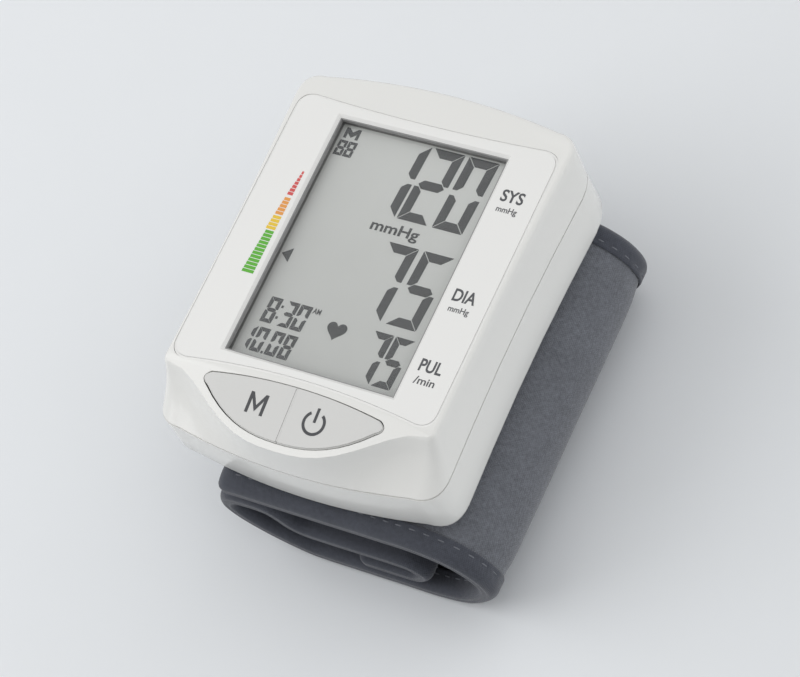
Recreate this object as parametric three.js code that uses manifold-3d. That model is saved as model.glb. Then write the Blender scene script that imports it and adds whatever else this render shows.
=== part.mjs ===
// Wrist blood pressure monitor: a two-part case with a display and two buttons, on a closed fabric cuff.
// Lengths are millimetres. X runs across the display, Y towards its upper end and Z up from the cuff's
// underside.
// The display's middle is the zero of X and Y until the last lines move the part onto its own origin.

import * as THREE from 'three';
import { mergeVertices } from 'three/addons/utils/BufferGeometryUtils.js';
import Module from 'manifold-3d';

const wasm = await Module();
wasm.setup();

// Clearances shared by all pieces
const fitGap = 0.3;
const seatGap = 0.2;
const overrun = 3;

// Display window and the plate around it
const screenWidth = 35.2;
const screenLength = 49.4;
const windowChamfer = 0.5;
const plateSideMargin = 9.3;
const plateHighMargin = 2;
const plateLowMargin = 1.7;
const plateHighDip = 0.7;
const plateLowArch = 1.9;
const plateCorner = 3;
const plateThickness = 1.1;
const plateGroove = 0.5;
const pocketFloor = 1;
const lensBorder = 1.1;
const lensThickness = 0.9;
const lcdBorder = 1.9;
const lcdThickness = 2;
const holderWall = 1;
const holderLedge = 1;
const stripWidth = 1.5;
const stripHeight = 1.2;
const stripInset = 2.5;

// Case: plateau on top, crease at the parting line, base at the cuff
const rimWidth = 1.9;
const rimTaper = 0.6;
const plateauWaist = 0.4;
const browLength = 7.6;
const highEndRoom = 7.2;
const browFall = 2.1;
const plateauCornerHigh = 4.5;
const plateauCornerLow = 1.8;
const chinLength = 13.6;
const lowEndRoom = 12.9;
const chinRise = 9.6;
const chinTilt = THREE.MathUtils.degToRad(8);
const chinStart = 2.2;
const frontDepth = 9.5;
const rearDepth = 10.8;
const creaseFlare = 0.9;
const creaseFlareEnds = 0.7;
const creaseCornerHigh = 7.5;
const creaseCornerLow = 5.5;
const baseFlare = 0.5;
const baseFlareEnds = 0.2;
const baseCornerHigh = 9;
const baseCornerLow = 5.8;
const lowerEndRise = 2.2;
const upperEndFall = 2.7;
const sideWaist = 0.8;
const topRound = 0.9;
const baseRound = 1.2;
const caseWall = 1.8;
const caseFloor = 1.6;
const chinWall = 1.6;
const smallestCorner = 0.5;
const scoopPower = 1.6;
const chinCurvePower = 1.35;

// Two buttons sharing one lens-shaped opening in the chin
const keyGap = 1.1;
const keyLength = 10.7;
const keyEndMargin = 9.3;
const keyTipMargin = 7.1;
const keyHighFall = 1.5;
const keyLowRise = 6.4;
const keyCurvePower = 2.4;
const keyProud = 0.25;
const keySplit = 0.4;
const keyTravel = 0.5;
const keyTabReach = 1.2;
const keyTabWidth = 1.4;
const keyTabThickness = 0.9;
const switchOffset = 8;
const switchReach = 4;
const switchSide = 6;
const switchHeight = 2;
const switchWell = 1.5;
const plungerRadius = 1.7;
const plungerRise = 0.7;

// Main board
const boardThickness = 1;
const boardSideRoom = 4.1;
const boardHighRoom = 2.9;
const boardLowRoom = 4.8;
const boardNotchHigh = 6.8;
const boardNotchLow = 6.5;
const boardNeckHighRoom = 7.6;
const boardNeckLowRoom = 7.1;
const boardSlopeLow = 3.5;
const boardFlare = 2.3;
const boardScrewX = 12;
const boardScrewRoom = 4.1;
const boardBossRadius = 2.1;
const boardPegInset = 2.4;
const boardPegRise = 2.5;
const boardPegRadius = 0.9;
const boardPegShoulder = 1.6;

// Screws
const screwRadius = 1;
const screwHeadRadius = 2;
const screwHeadHeight = 1.4;
const screwSlot = 0.5;
const screwHeadCover = 0.5;
const caseBossRadius = 2.6;
const caseBossHighRoom = 6;
const caseBossLowRoom = 7.4;
const caseBossDrawIn = 0.4;
const caseScrewLength = 12.6;
const boardScrewLength = 4;

// Cells and their contacts
const cellRadius = 5.25;
const cellLength = 44.5;
const cellNubRadius = 1.9;
const cellNubHeight = 0.8;
const cellLift = 0.35;
const cellSideGap = 0.4;
const cellEdge = 0.4;
const springLength = 4.8;
const springWire = 0.45;
const springWide = 3.4;
const springNarrow = 2;
const springTurns = 4;
const contactThickness = 0.4;
const contactHeight = 9;
const contactInset = 1;
const bayWall = 1.6;
const bayWallHeight = 8.6;
const doorReach = 3.4;
const doorArm = 1;
const doorHeight = 12.9;
const doorRailDepth = 0.8;
const doorRailHeight = 1.2;
const doorRailLift = 5;
const doorGripDepth = 0.5;
const doorGripWidth = 1;
const doorGripPitch = 2.4;
const doorGripCount = 5;
const doorGripHeight = 5;

// Air pump
const pumpRoom = 2.6;
const pumpSideRoom = 3.9;
const pumpWidth = 12;
const pumpHeight = 10;
const motorLength = 19;
const motorNearY = 4.5;
const headLength = 13.4;
const headWall = 1.6;
const chamberRadius = 3.6;
const shaftRadius = 0.6;
const shaftReach = 7;
const crankRadius = 2.6;
const crankLength = 2;
const crankPinRadius = 0.5;
const crankPinOffset = 1.4;
const crankPinLength = 2;
const diaphragmThickness = 1;
const nippleRadius = 0.9;
const nippleLength = 3;
const tubeWall = 0.8;

// Valve, sensor, manifold and nozzle
const valveRoom = 4;
const portRoom = 3.4;
const portZ = 4.7;
const valveSide = 8;
const valveLength = 13;
const valveNearY = 8;
const valveStemRadius = 1.1;
const valveStemReach = 5;
const valveCapRadius = 1.9;
const valveCapThickness = 0.8;
const valveStroke = 0.8;
const manifoldSide = 7;
const manifoldHeight = 3.6;
const nozzleRadius = 2.1;
const nozzleFlangeRadius = 3.6;
const nozzleFlangeThickness = 0.6;
const nozzleSpigot = 1.6;
const nozzleSpigotRadius = 1.3;
const sensorSide = 8;
const sensorHeight = 3.4;
const pumpTubeBend = 6.5;
const airBore = 0.4;
const stubLength = 1.2;
const cupCount = 3;
const cupRadius = 1;
const cupOffset = 1.9;
const cupHeight = 1;
const cradleWall = 1;
const cradleHeight = 3;

// Small parts on the board
const buzzerRadius = 6;
const buzzerHeight = 3;
const buzzerSide = 5;
const buzzerRise = 5.3;
const buzzerHole = 1;
const chipSide = 10;
const chipHeight = 1;
const chipX = 8;
const chipY = 1;
const crystalLength = 6;
const crystalWidth = 2.2;
const crystalHeight = 1.6;
const crystalX = -2.5;
const crystalY = -10;
const capacitorRadius = 2.5;
const capacitorHeight = 6;
const capacitorX = -0.4;
const capacitorRoom = 3.2;

// Cuff
const loopWidth = 57.4;
const loopHeight = 24.4;
const loopInset = 8;
const cuffNear = -43.4;
const cuffFar = 27.5;
const bindingWidth = 1.2;
const fabricThickness = 0.8;
const bandThickness = 0.6;
const bladderThickness = 1;
const layerGap = 0.26;
const tailFabricThickness = 1.5;
const tailLiningThickness = 1.5;
const tailArmGap = 0.35;
const hookThickness = 0.8;
const pegRadius = 1.5;
const pegReachX = 4.6;
const pegWallRoom = 8.2;
const pegHalfY = 21;

// Counts that set how fine the faces are
const roundSides = 20;
const smallSides = 12;
const endSteps = 9;
const cornerSteps = 8;
const sideSteps = 5;
const roundSteps = 3;
const frontSteps = 5;
const rearSteps = 2;
const strapSteps = 76;
const tailSteps = 56;
const tubeSteps = 10;
const springTurnSteps = 7;
const springSides = 5;

// Middle line of the main loop, from its start under the case round to the inner layer,
// as shares of the loop's width and height measured between the middles of its walls
const loopPathShares = [
  [0.08, 1], [0.24, 1], [0.45, 1], [0.66, 1], [0.79, 0.99], [0.905, 0.897], [0.979, 0.696], [1, 0.451],
  [0.955, 0.245], [0.876, 0.074], [0.767, 0], [0.62, 0], [0.466, 0], [0.34, 0], [0.25, 0.02],
  [0.15, 0.143], [0.075, 0.286], [0.02, 0.451],
];
// Its last turn, as shares of the loop's width and of the inner layer's height
const loopReturnShares = [[0, 0.811], [0.03, 0.964], [0.09, 1], [0.138, 1]];

// Middle line of the tail folded inside the loop, as shares of the same width and of the room
// between its lower arm and the loop's inner layer
const tailPathShares = [
  [0.15, 1], [0.181, 0.95], [0.214, 0.78], [0.238, 0.61], [0.283, 0.49], [0.362, 0.464], [0.517, 0.464],
  [0.638, 0.464], [0.702, 0.425], [0.74, 0.232], [0.702, 0.039], [0.638, 0], [0.55, 0], [0.457, 0],
];

// Where each layer starts and ends, as shares of the length of its middle line
const wholeShares = [0, 1];
const bandShares = [0.03, 0.97];
const bladderShares = [0.03, 0.6];
const foamShares = [0.61, 0.97];
const hookShares = [0.84, 0.98];

// Heights worked out from the sizes above
const strapThickness = 2 * fabricThickness + bandThickness + bladderThickness + 3 * layerGap;
const tailThickness = tailFabricThickness + tailLiningThickness + layerGap;
const baseZ = loopHeight + fitGap;
const partingZ = baseZ + rearDepth;
const topZ = partingZ + frontDepth;
const floorZ = baseZ + caseFloor;
const ceilingZ = topZ - plateThickness - fitGap - pocketFloor;
const pocketZ = ceilingZ + pocketFloor;
const lcdHighZ = ceilingZ - fitGap;
const lcdLowZ = lcdHighZ - lcdThickness;
const stripHighZ = lcdLowZ - fitGap / 2;
const boardHighZ = stripHighZ - stripHeight - fitGap / 2;
const boardLowZ = boardHighZ - boardThickness;
const cellZ = floorZ + cellLift + cellRadius;
const airZ = floorZ + portZ - manifoldHeight / 2;
const switchLowZ = boardHighZ + seatGap;
const switchHighZ = switchLowZ + switchHeight + plungerRise;
const keyLowZ = switchHighZ + fitGap;

// Cell bay along the case's left side, which with the plate sets how large the case has to be
const plateHalf = screenWidth / 2 + plateSideMargin;
const plateHighY = screenLength / 2 + plateHighMargin;
const plateLowY = -screenLength / 2 - plateLowMargin;
const contactFaceY = (cellLength + springLength + seatGap) / 2;
const bayHalf = contactFaceY + contactThickness + fitGap;
const bayEndY = bayHalf + bayWall;
const cellSideWidth = sideWaist + caseWall + cellSideGap + 4 * cellRadius + 2 * fitGap + bayWall;
const airSideWidth = valveRoom + valveSide + pumpRoom + pumpWidth + pumpSideRoom + caseWall + sideWaist;
const caseHalf = Math.max(plateHalf + rimWidth + creaseFlare, (cellSideWidth + airSideWidth) / 2);
const caseHighY = Math.max(plateHighY + browLength, bayEndY + highEndRoom);
const caseLowY = Math.min(plateLowY - chinLength, -bayEndY - lowEndRoom);
const bayInnerX = cellSideWidth - bayWall - caseHalf;
const portX = bayInnerX + bayWall + valveRoom + valveSide / 2;
const portY = portRoom - bayHalf;
const pumpX = portX + valveSide / 2 + pumpRoom + pumpWidth / 2;

// Outlines of the case, all of one kind, so that any two can be blended point by point
const plateOutline = {
  lowY: plateLowY, lowRise: -plateLowArch, chin: 0, cornerLow: plateCorner, halfLow: plateHalf, waist: 0,
  halfHigh: plateHalf, cornerHigh: plateCorner, highFall: -plateHighDip, highY: plateHighY,
};
const plateau = {
  lowY: caseLowY, lowRise: chinRise, chin: 1, cornerLow: plateauCornerLow,
  halfLow: caseHalf - creaseFlare - rimTaper, waist: plateauWaist, halfHigh: caseHalf - creaseFlare,
  cornerHigh: plateauCornerHigh, highFall: browFall, highY: caseHighY,
};
const crease = {
  lowY: plateau.lowY - creaseFlareEnds, lowRise: lowerEndRise, chin: 0, cornerLow: creaseCornerLow,
  halfLow: caseHalf, waist: sideWaist, halfHigh: caseHalf,
  cornerHigh: creaseCornerHigh, highFall: upperEndFall, highY: plateau.highY + creaseFlareEnds,
};
const base = {
  lowY: crease.lowY - baseFlareEnds, lowRise: lowerEndRise, chin: 0, cornerLow: baseCornerLow,
  halfLow: crease.halfLow + baseFlare, waist: sideWaist, halfHigh: crease.halfHigh + baseFlare,
  cornerHigh: baseCornerHigh, highFall: upperEndFall, highY: crease.highY + baseFlareEnds,
};

// Places that follow from those outlines
const keyHighY = plateLowY - plateGroove - keyGap;
const keyLowY = keyHighY - keyLength;
const keyEndHalf = plateHalf - keyEndMargin;
const keyTipHalf = plateHalf - keyTipMargin;
const switchY = keyHighY - switchReach;
const lensHalfX = screenWidth / 2 + lensBorder;
const lensHalfY = screenLength / 2 + lensBorder;
const lcdHalfX = screenWidth / 2 + lcdBorder;
const lcdHalfY = screenLength / 2 + lcdBorder;
const holderHalfX = lcdHalfX + fitGap + holderWall;
const holderHalfY = lcdHalfY + fitGap + holderWall;
const stripHalf = lcdHalfX - stripInset;
const stripLowY = -lcdHalfY + seatGap;
const caseBossHighX = holderHalfX + fitGap + caseBossRadius;
const caseBossHighY = caseHighY - caseBossHighRoom;
const caseBossLowX = caseBossHighX - caseBossDrawIn;
const caseBossLowY = caseLowY + caseBossLowRoom;
const boardHalf = caseHalf - boardSideRoom;
const boardHigh = caseHighY - boardHighRoom;
const boardLow = caseLowY + boardLowRoom;
const boardShoulderHigh = caseBossHighY - boardNotchHigh;
const boardShoulderLow = caseBossLowY + boardNotchLow;
const boardNeckHigh = caseBossHighX - boardNeckHighRoom;
const boardNeckLow = caseBossLowX - boardNeckLowRoom;
const boardScrewY = caseHighY - boardScrewRoom;
const boardPegX = boardHalf - boardPegInset;
const boardPegY = boardShoulderLow + boardPegRise;
const buzzerX = boardPegX - buzzerSide;
const buzzerY = boardPegY + buzzerRise;
const capacitorY = boardHigh - capacitorRoom;
const loopLeft = loopInset - caseHalf - baseFlare;
const pegSpots = [portX - pegReachX, caseHalf - pegWallRoom].flatMap((x) => [
  [x, pegHalfY], [x, -pegHalfY],
]);

// Solids from three.js geometry and back
function toSolid(geometry) {
  const bare = new THREE.BufferGeometry();
  bare.setAttribute('position', geometry.getAttribute('position'));
  bare.setIndex(geometry.getIndex());
  const merged = mergeVertices(bare);
  const corners = merged.getIndex().array;
  const kept = [];
  for (let i = 0; i < corners.length; i += 3) {
    const [a, b, c] = corners.slice(i, i + 3);
    if (a !== b && b !== c && c !== a) kept.push(a, b, c);
  }
  const vertProperties = new Float32Array(merged.getAttribute('position').array);
  return new wasm.Manifold(new wasm.Mesh({ numProp: 3, vertProperties, triVerts: new Uint32Array(kept) }));
}

function toGeometry(solid) {
  const mesh = solid.getMesh();
  const geometry = new THREE.BufferGeometry();
  geometry.setAttribute('position', new THREE.BufferAttribute(new Float32Array(mesh.vertProperties), 3));
  geometry.setIndex(new THREE.BufferAttribute(new Uint32Array(mesh.triVerts), 1));
  geometry.computeVertexNormals();
  return geometry;
}

// Basic shapes
function block(lowX, highX, lowY, highY, lowZ, highZ) {
  const box = new THREE.BoxGeometry(highX - lowX, highY - lowY, highZ - lowZ);
  box.translate((lowX + highX) / 2, (lowY + highY) / 2, (lowZ + highZ) / 2);
  return toSolid(box);
}

function upright(radius, x, y, lowZ, highZ, sides = smallSides) {
  const rod = new THREE.CylinderGeometry(radius, radius, highZ - lowZ, sides);
  rod.rotateX(Math.PI / 2);
  rod.translate(x, y, (lowZ + highZ) / 2);
  return toSolid(rod);
}

function alongY(radius, x, z, lowY, highY, sides = smallSides) {
  const rod = new THREE.CylinderGeometry(radius, radius, highY - lowY, sides);
  rod.translate(x, (lowY + highY) / 2, z);
  return toSolid(rod);
}

function prism(points, lowZ, highZ) {
  const options = { depth: highZ - lowZ, bevelEnabled: false };
  const shape = new THREE.ExtrudeGeometry(new THREE.Shape(points), options);
  shape.translate(0, 0, lowZ);
  return toSolid(shape);
}

// Outline in X and Z drawn out along Y
function curtain(points, lowY, highY) {
  const options = { depth: highY - lowY, bevelEnabled: false };
  const shape = new THREE.ExtrudeGeometry(new THREE.Shape(points), options);
  shape.rotateX(Math.PI / 2);
  shape.translate(0, highY, 0);
  return toSolid(shape);
}

// Closed skin through rings of equal count, lowest ring first
function loft(rings) {
  const count = rings[0].length;
  const position = rings.flat().flatMap((point) => [point.x, point.y, point.z]);
  const index = [];
  for (let level = 1; level < rings.length; level += 1) {
    for (let i = 0; i < count; i += 1) {
      const low = (level - 1) * count + i;
      const lowNext = (level - 1) * count + (i + 1) % count;
      index.push(low, lowNext, lowNext + count, low, lowNext + count, low + count);
    }
  }
  const capLow = THREE.ShapeUtils.triangulateShape(rings[0].map((p) => new THREE.Vector2(p.x, p.y)), []);
  const capHigh = THREE.ShapeUtils.triangulateShape(rings.at(-1).map((p) => new THREE.Vector2(p.x, p.y)), []);
  const last = (rings.length - 1) * count;
  capLow.forEach(([a, b, c]) => index.push(c, b, a));
  capHigh.forEach(([a, b, c]) => index.push(last + a, last + b, last + c));
  const geometry = new THREE.BufferGeometry();
  geometry.setAttribute('position', new THREE.Float32BufferAttribute(position, 3));
  geometry.setIndex(index);
  return toSolid(geometry);
}

// Hose with a round bore along a curve
function hose(curve, bore, wall, steps) {
  const ring = new THREE.Shape();
  ring.absarc(0, 0, bore + wall, 0, 2 * Math.PI);
  const hole = new THREE.Path();
  hole.absarc(0, 0, bore, 0, 2 * Math.PI, true);
  ring.holes.push(hole);
  const options = { steps, extrudePath: curve, curveSegments: smallSides / 2 };
  return toSolid(new THREE.ExtrudeGeometry(ring, options));
}

// Conical spring wound about Y, wide at its first end
function spring(x, z, fromY, toY) {
  const points = [];
  const total = springTurns * springTurnSteps;
  for (let i = 0; i <= total; i += 1) {
    const share = i / total;
    const angle = 2 * Math.PI * springTurns * share;
    const radius = THREE.MathUtils.lerp(springWide, springNarrow, share);
    const y = THREE.MathUtils.lerp(fromY, toY, share);
    points.push(new THREE.Vector3(x + radius * Math.cos(angle), y, z + radius * Math.sin(angle)));
  }
  const wire = new THREE.Shape();
  wire.absarc(0, 0, springWire / 2, 0, 2 * Math.PI);
  const options = {
    steps: total, extrudePath: new THREE.CatmullRomCurve3(points), curveSegments: springSides,
  };
  return toSolid(new THREE.ExtrudeGeometry(wire, options));
}

// Right half of an outline, from the middle of its lower end to the middle of its upper end
function halfOutline(level, inset) {
  const cornerLow = Math.max(level.cornerLow - inset, smallestCorner);
  const cornerHigh = Math.max(level.cornerHigh - inset, smallestCorner);
  const lowHalf = level.halfLow - inset;
  const highHalf = level.halfHigh - inset;
  const points = [];
  for (let i = 0; i <= endSteps; i += 1) {
    const share = i / endSteps;
    const plain = share ** 2;
    const chin = (1 - Math.cos(Math.PI * share ** chinCurvePower)) / 2;
    const rise = level.lowRise * THREE.MathUtils.lerp(plain, chin, level.chin);
    points.push(new THREE.Vector2(share * (lowHalf - cornerLow), level.lowY + inset + rise));
  }
  const lowEnd = points.at(-1);
  const sideLow = new THREE.Vector2(lowHalf, lowEnd.y + cornerLow);
  const sideHigh = new THREE.Vector2(highHalf, level.highY - inset - level.highFall - cornerHigh);
  const highEnd = new THREE.Vector2(highHalf - cornerHigh, sideHigh.y + cornerHigh);
  const cornerA = new THREE.QuadraticBezierCurve(lowEnd, new THREE.Vector2(lowHalf, lowEnd.y), sideLow);
  points.push(...cornerA.getPoints(cornerSteps).slice(1));
  for (let i = 1; i < sideSteps; i += 1) {
    const share = i / sideSteps;
    const x = THREE.MathUtils.lerp(lowHalf, highHalf, share) - level.waist * Math.sin(Math.PI * share);
    points.push(new THREE.Vector2(x, THREE.MathUtils.lerp(sideLow.y, sideHigh.y, share)));
  }
  const cornerB = new THREE.QuadraticBezierCurve(sideHigh, new THREE.Vector2(highHalf, highEnd.y), highEnd);
  points.push(...cornerB.getPoints(cornerSteps));
  for (let i = 1; i <= endSteps; i += 1) {
    const share = 1 - i / endSteps;
    points.push(new THREE.Vector2(share * highEnd.x, level.highY - inset - level.highFall * share ** 2));
  }
  return points;
}

// Whole outline from its right half, anticlockwise seen from above
function mirrored(half) {
  const left = half.slice(1, -1).reverse().map((p) => new THREE.Vector2(-p.x, p.y));
  return [...half, ...left];
}

function outline(level, inset = 0) {
  return mirrored(halfOutline(level, inset));
}

function blend(first, second, share) {
  return first.map((point, i) => point.clone().lerp(second[i], share));
}

// Case outline at a height: the chin and its scooped shoulders fade from the plateau into the crease
function caseSection(z, inset) {
  if (z < partingZ) {
    return blend(outline(crease, inset), outline(base, inset), (partingZ - z) / rearDepth);
  }
  const share = Math.min(1, Math.max(0, (topZ - z) / frontDepth));
  return blend(outline(plateau, inset), outline(crease, inset), share ** scoopPower);
}

function caseRing(z, inset) {
  return caseSection(z, inset).map((point) => new THREE.Vector3(point.x, point.y, z));
}

// Whole case body, solid, with its lower and upper edges rounded
function caseBody(inset, lowZ, highZ, lowRound, highRound) {
  const rings = [];
  for (let i = 0; i < roundSteps; i += 1) {
    const turn = Math.PI / 2 * i / roundSteps;
    rings.push(caseRing(lowZ + lowRound * (1 - Math.cos(turn)), inset + lowRound * (1 - Math.sin(turn))));
  }
  for (let i = 0; i < rearSteps; i += 1) {
    rings.push(caseRing(THREE.MathUtils.lerp(lowZ + lowRound, partingZ, i / rearSteps), inset));
  }
  for (let i = 0; i < frontSteps; i += 1) {
    rings.push(caseRing(THREE.MathUtils.lerp(partingZ, highZ - highRound, i / frontSteps), inset));
  }
  for (let i = roundSteps; i >= 0; i -= 1) {
    const turn = Math.PI / 2 * i / roundSteps;
    rings.push(caseRing(highZ - highRound * (1 - Math.cos(turn)), inset + highRound * (1 - Math.sin(turn))));
  }
  return loft(rings);
}

// Everything above the tilted face of the chin, lowered by a depth
function aboveChin(depth) {
  const reach = plateau.highY - plateau.lowY;
  const cutter = new THREE.BoxGeometry(reach, reach, reach);
  cutter.translate(0, -reach / 2, reach / 2);
  cutter.rotateX(chinTilt);
  cutter.translate(0, plateLowY - chinStart, topZ - depth);
  return toSolid(cutter);
}

// Lens-shaped outline of the button opening, shrunk by an inset
function keyOutline(inset) {
  const end = keyEndHalf - inset;
  const points = [];
  for (let i = 0; i <= endSteps; i += 1) {
    const share = i / endSteps;
    points.push(new THREE.Vector2(share * end, keyLowY + inset + keyLowRise * share ** keyCurvePower));
  }
  const tipLow = points.at(-1);
  const tipHigh = new THREE.Vector2(end, keyHighY - inset - keyHighFall);
  const tip = new THREE.Vector2(keyTipHalf - inset, (tipLow.y + tipHigh.y) / 2);
  points.push(...new THREE.QuadraticBezierCurve(tipLow, tip, tipHigh).getPoints(cornerSteps).slice(1));
  for (let i = 1; i <= endSteps; i += 1) {
    const share = 1 - i / endSteps;
    points.push(new THREE.Vector2(share * end, keyHighY - inset - keyHighFall * share ** 2));
  }
  return mirrored(points);
}

function rectangle(halfX, halfY) {
  const corners = [[-halfX, -halfY], [halfX, -halfY], [halfX, halfY], [-halfX, halfY]];
  return corners.map(([x, y]) => new THREE.Vector2(x, y));
}

// Rod along X, for ports and hooks that point sideways
function alongX(radius, y, z, lowX, highX) {
  const rod = new THREE.CylinderGeometry(radius, radius, highX - lowX, smallSides);
  rod.rotateZ(Math.PI / 2);
  rod.translate((lowX + highX) / 2, y, z);
  return toSolid(rod);
}

// The part as a tree of named pieces
const part = new THREE.Group();
const caseGroup = new THREE.Group();
const airGroup = new THREE.Group();
const powerGroup = new THREE.Group();
const boardGroup = new THREE.Group();
const cuffGroup = new THREE.Group();
part.add(caseGroup, airGroup, powerGroup, boardGroup, cuffGroup);

function finish(color, roughness, metalness) {
  return new THREE.MeshStandardMaterial({ color, roughness, metalness });
}

const caseWhite = finish(0xf1f1ee, 0.32, 0);
const plateWhite = finish(0xf4f4f2, 0.28, 0);
const keyGrey = finish(0xdededb, 0.4, 0);
const clear = finish(0xe8eef0, 0.05, 0);
const glassGrey = finish(0xbebebc, 0.25, 0);
const innerPlastic = finish(0xd8d8d2, 0.5, 0);
const boardGreen = finish(0x2f6b45, 0.55, 0);
const darkPart = finish(0x2b2b2d, 0.5, 0);
const steel = finish(0xb8bbbd, 0.3, 1);
const brass = finish(0xc9b27a, 0.35, 1);
const cellFinish = finish(0x8f979c, 0.35, 0.6);
const rubber = finish(0xcfd2d2, 0.6, 0);
const cuffGrey = finish(0x5b5f69, 0.95, 0);
const cuffDark = finish(0x3a3d47, 0.95, 0);
const bindingGrey = finish(0x6d7079, 0.9, 0);
const bladderBlack = finish(0x2c2e33, 0.6, 0);

function add(group, name, solid, material) {
  const mesh = new THREE.Mesh(toGeometry(solid), material);
  mesh.name = name;
  group.add(mesh);
  return mesh;
}

// Case shell, cut later into front housing, rear housing and battery door
const wholeCase = caseBody(0, baseZ, topZ, baseRound, topRound).subtract(aboveChin(0));
const cavity = caseBody(caseWall, floorZ, ceilingZ, 0, 0).subtract(aboveChin(chinWall));
const shell = wholeCase.subtract(cavity);
const withinWall = caseBody(caseWall / 2, baseZ, topZ - chinWall / 2, 0, 0).subtract(aboveChin(chinWall / 2));
const farOut = plateau.highY - plateau.lowY;
const aboveParting = block(-farOut, farOut, -farOut, farOut, partingZ + fitGap / 2, topZ + farOut);
const belowParting = block(-farOut, farOut, -farOut, farOut, baseZ - farOut, partingZ - fitGap / 2);

// Cells in their bay, and the door over it
const sideX = caseHalf;
const secondCellX = bayInnerX - fitGap - cellRadius;
const firstCellX = secondCellX - 2 * cellRadius - fitGap;
const doorHalf = bayHalf - fitGap;
const doorInnerX = -(sideX - doorReach);
const doorTopZ = baseZ + doorHeight;
const railZ = floorZ + doorRailLift;

function doorSpace(gap) {
  return block(-sideX - overrun, doorInnerX + gap, -doorHalf - gap, doorHalf + gap,
    baseZ - overrun, doorTopZ + gap);
}

function doorRails(gap) {
  const reach = doorHalf + doorRailDepth + gap;
  const half = doorRailHeight / 2 + gap;
  return block(-sideX - gap * overrun, doorInnerX + gap, -reach, reach, railZ - half, railZ + half);
}

// Bosses that take the case screws, split between the two housings
const bossSpots = [
  [-caseBossHighX, caseBossHighY], [caseBossHighX, caseBossHighY],
  [-caseBossLowX, caseBossLowY], [caseBossLowX, caseBossLowY],
];
const screwHeadZ = baseZ + screwHeadCover;

function makeFrontHousing() {
  let solid = shell.intersect(aboveParting);
  for (const [x, y] of bossSpots) {
    const boss = upright(caseBossRadius, x, y, partingZ + fitGap / 2, topZ, roundSides);
    solid = solid.add(boss.intersect(withinWall));
    solid = solid.subtract(upright(screwRadius + fitGap, x, y, partingZ - overrun,
      screwHeadZ + caseScrewLength + fitGap));
  }
  for (const side of [-1, 1]) {
    const boss = upright(boardBossRadius, side * boardScrewX, boardScrewY, boardHighZ + seatGap,
      ceilingZ + pocketFloor / 2);
    solid = solid.add(boss.intersect(withinWall));
    solid = solid.subtract(upright(screwRadius + fitGap, side * boardScrewX, boardScrewY, boardLowZ,
      boardLowZ + boardScrewLength));
    solid = solid.add(upright(boardPegShoulder, side * boardPegX, boardPegY, boardHighZ + seatGap,
      ceilingZ + pocketFloor / 2));
    solid = solid.add(upright(boardPegRadius, side * boardPegX, boardPegY, boardLowZ - fitGap,
      ceilingZ + pocketFloor / 2));
  }
  const pocket = prism(outline(plateOutline, -plateGroove), pocketZ, topZ + overrun);
  const lensHole = prism(rectangle(lensHalfX + fitGap, lensHalfY + fitGap), ceilingZ - overrun,
    pocketZ + overrun);
  const keyHole = prism(keyOutline(0), keyLowZ - keyTravel - fitGap, topZ + overrun);
  solid = solid.subtract(pocket).subtract(lensHole).subtract(keyHole);
  return solid.subtract(doorSpace(fitGap));
}

function makeRearHousing() {
  let solid = shell.intersect(belowParting);
  const bayTop = floorZ + bayWallHeight;
  let walls = block(bayInnerX, bayInnerX + bayWall, -bayHalf - bayWall, bayHalf + bayWall, baseZ, bayTop);
  for (const side of [-1, 1]) {
    const low = Math.min(side * bayHalf, side * (bayHalf + bayWall));
    walls = walls.add(block(-sideX, bayInnerX + bayWall, low, low + bayWall, baseZ, bayTop));
    const cradleX = pumpX + side * (pumpWidth / 2 + fitGap + cradleWall / 2);
    walls = walls.add(block(cradleX - cradleWall / 2, cradleX + cradleWall / 2, motorNearY - headLength,
      motorNearY + motorLength, baseZ, floorZ + cradleHeight));
  }
  for (const [x, y] of bossSpots) {
    walls = walls.add(upright(caseBossRadius, x, y, baseZ, partingZ - fitGap / 2, roundSides));
  }
  solid = solid.add(walls.intersect(withinWall));
  for (const [x, y] of bossSpots) {
    solid = solid.subtract(upright(screwHeadRadius + fitGap, x, y, baseZ - overrun,
      screwHeadZ + screwHeadHeight + seatGap));
    solid = solid.subtract(upright(screwRadius + fitGap, x, y, baseZ, partingZ + overrun));
  }
  for (const [x, y] of pegSpots) {
    solid = solid.subtract(upright(pegRadius + fitGap, x, y, baseZ - overrun, floorZ + seatGap));
  }
  solid = solid.subtract(upright(nozzleRadius + fitGap, portX, portY, baseZ - overrun, floorZ + seatGap));
  return solid.subtract(doorSpace(fitGap)).subtract(doorRails(fitGap));
}

function makeBatteryDoor() {
  let solid = shell.intersect(doorSpace(0));
  const arms = block(-sideX, doorInnerX, doorHalf - doorArm, doorHalf, baseZ, doorTopZ)
    .add(block(-sideX, doorInnerX, -doorHalf, -doorHalf + doorArm, baseZ, doorTopZ));
  const rails = doorRails(0).intersect(withinWall).subtract(block(-farOut, farOut, -doorHalf + doorArm / 2,
    doorHalf - doorArm / 2, baseZ, topZ));
  solid = solid.add(arms.intersect(withinWall)).add(rails);
  const middleZ = baseZ + doorHeight / 2;
  for (let i = 0; i < doorGripCount; i += 1) {
    const y = (i - (doorGripCount - 1) / 2) * doorGripPitch;
    const outerX = -(sideX - sideWaist + baseFlare);
    solid = solid.subtract(block(outerX - overrun, outerX + doorGripDepth, y - doorGripWidth / 2,
      y + doorGripWidth / 2, middleZ - doorGripHeight / 2, middleZ + doorGripHeight / 2));
  }
  return solid;
}

// Display stack under the plate

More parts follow.
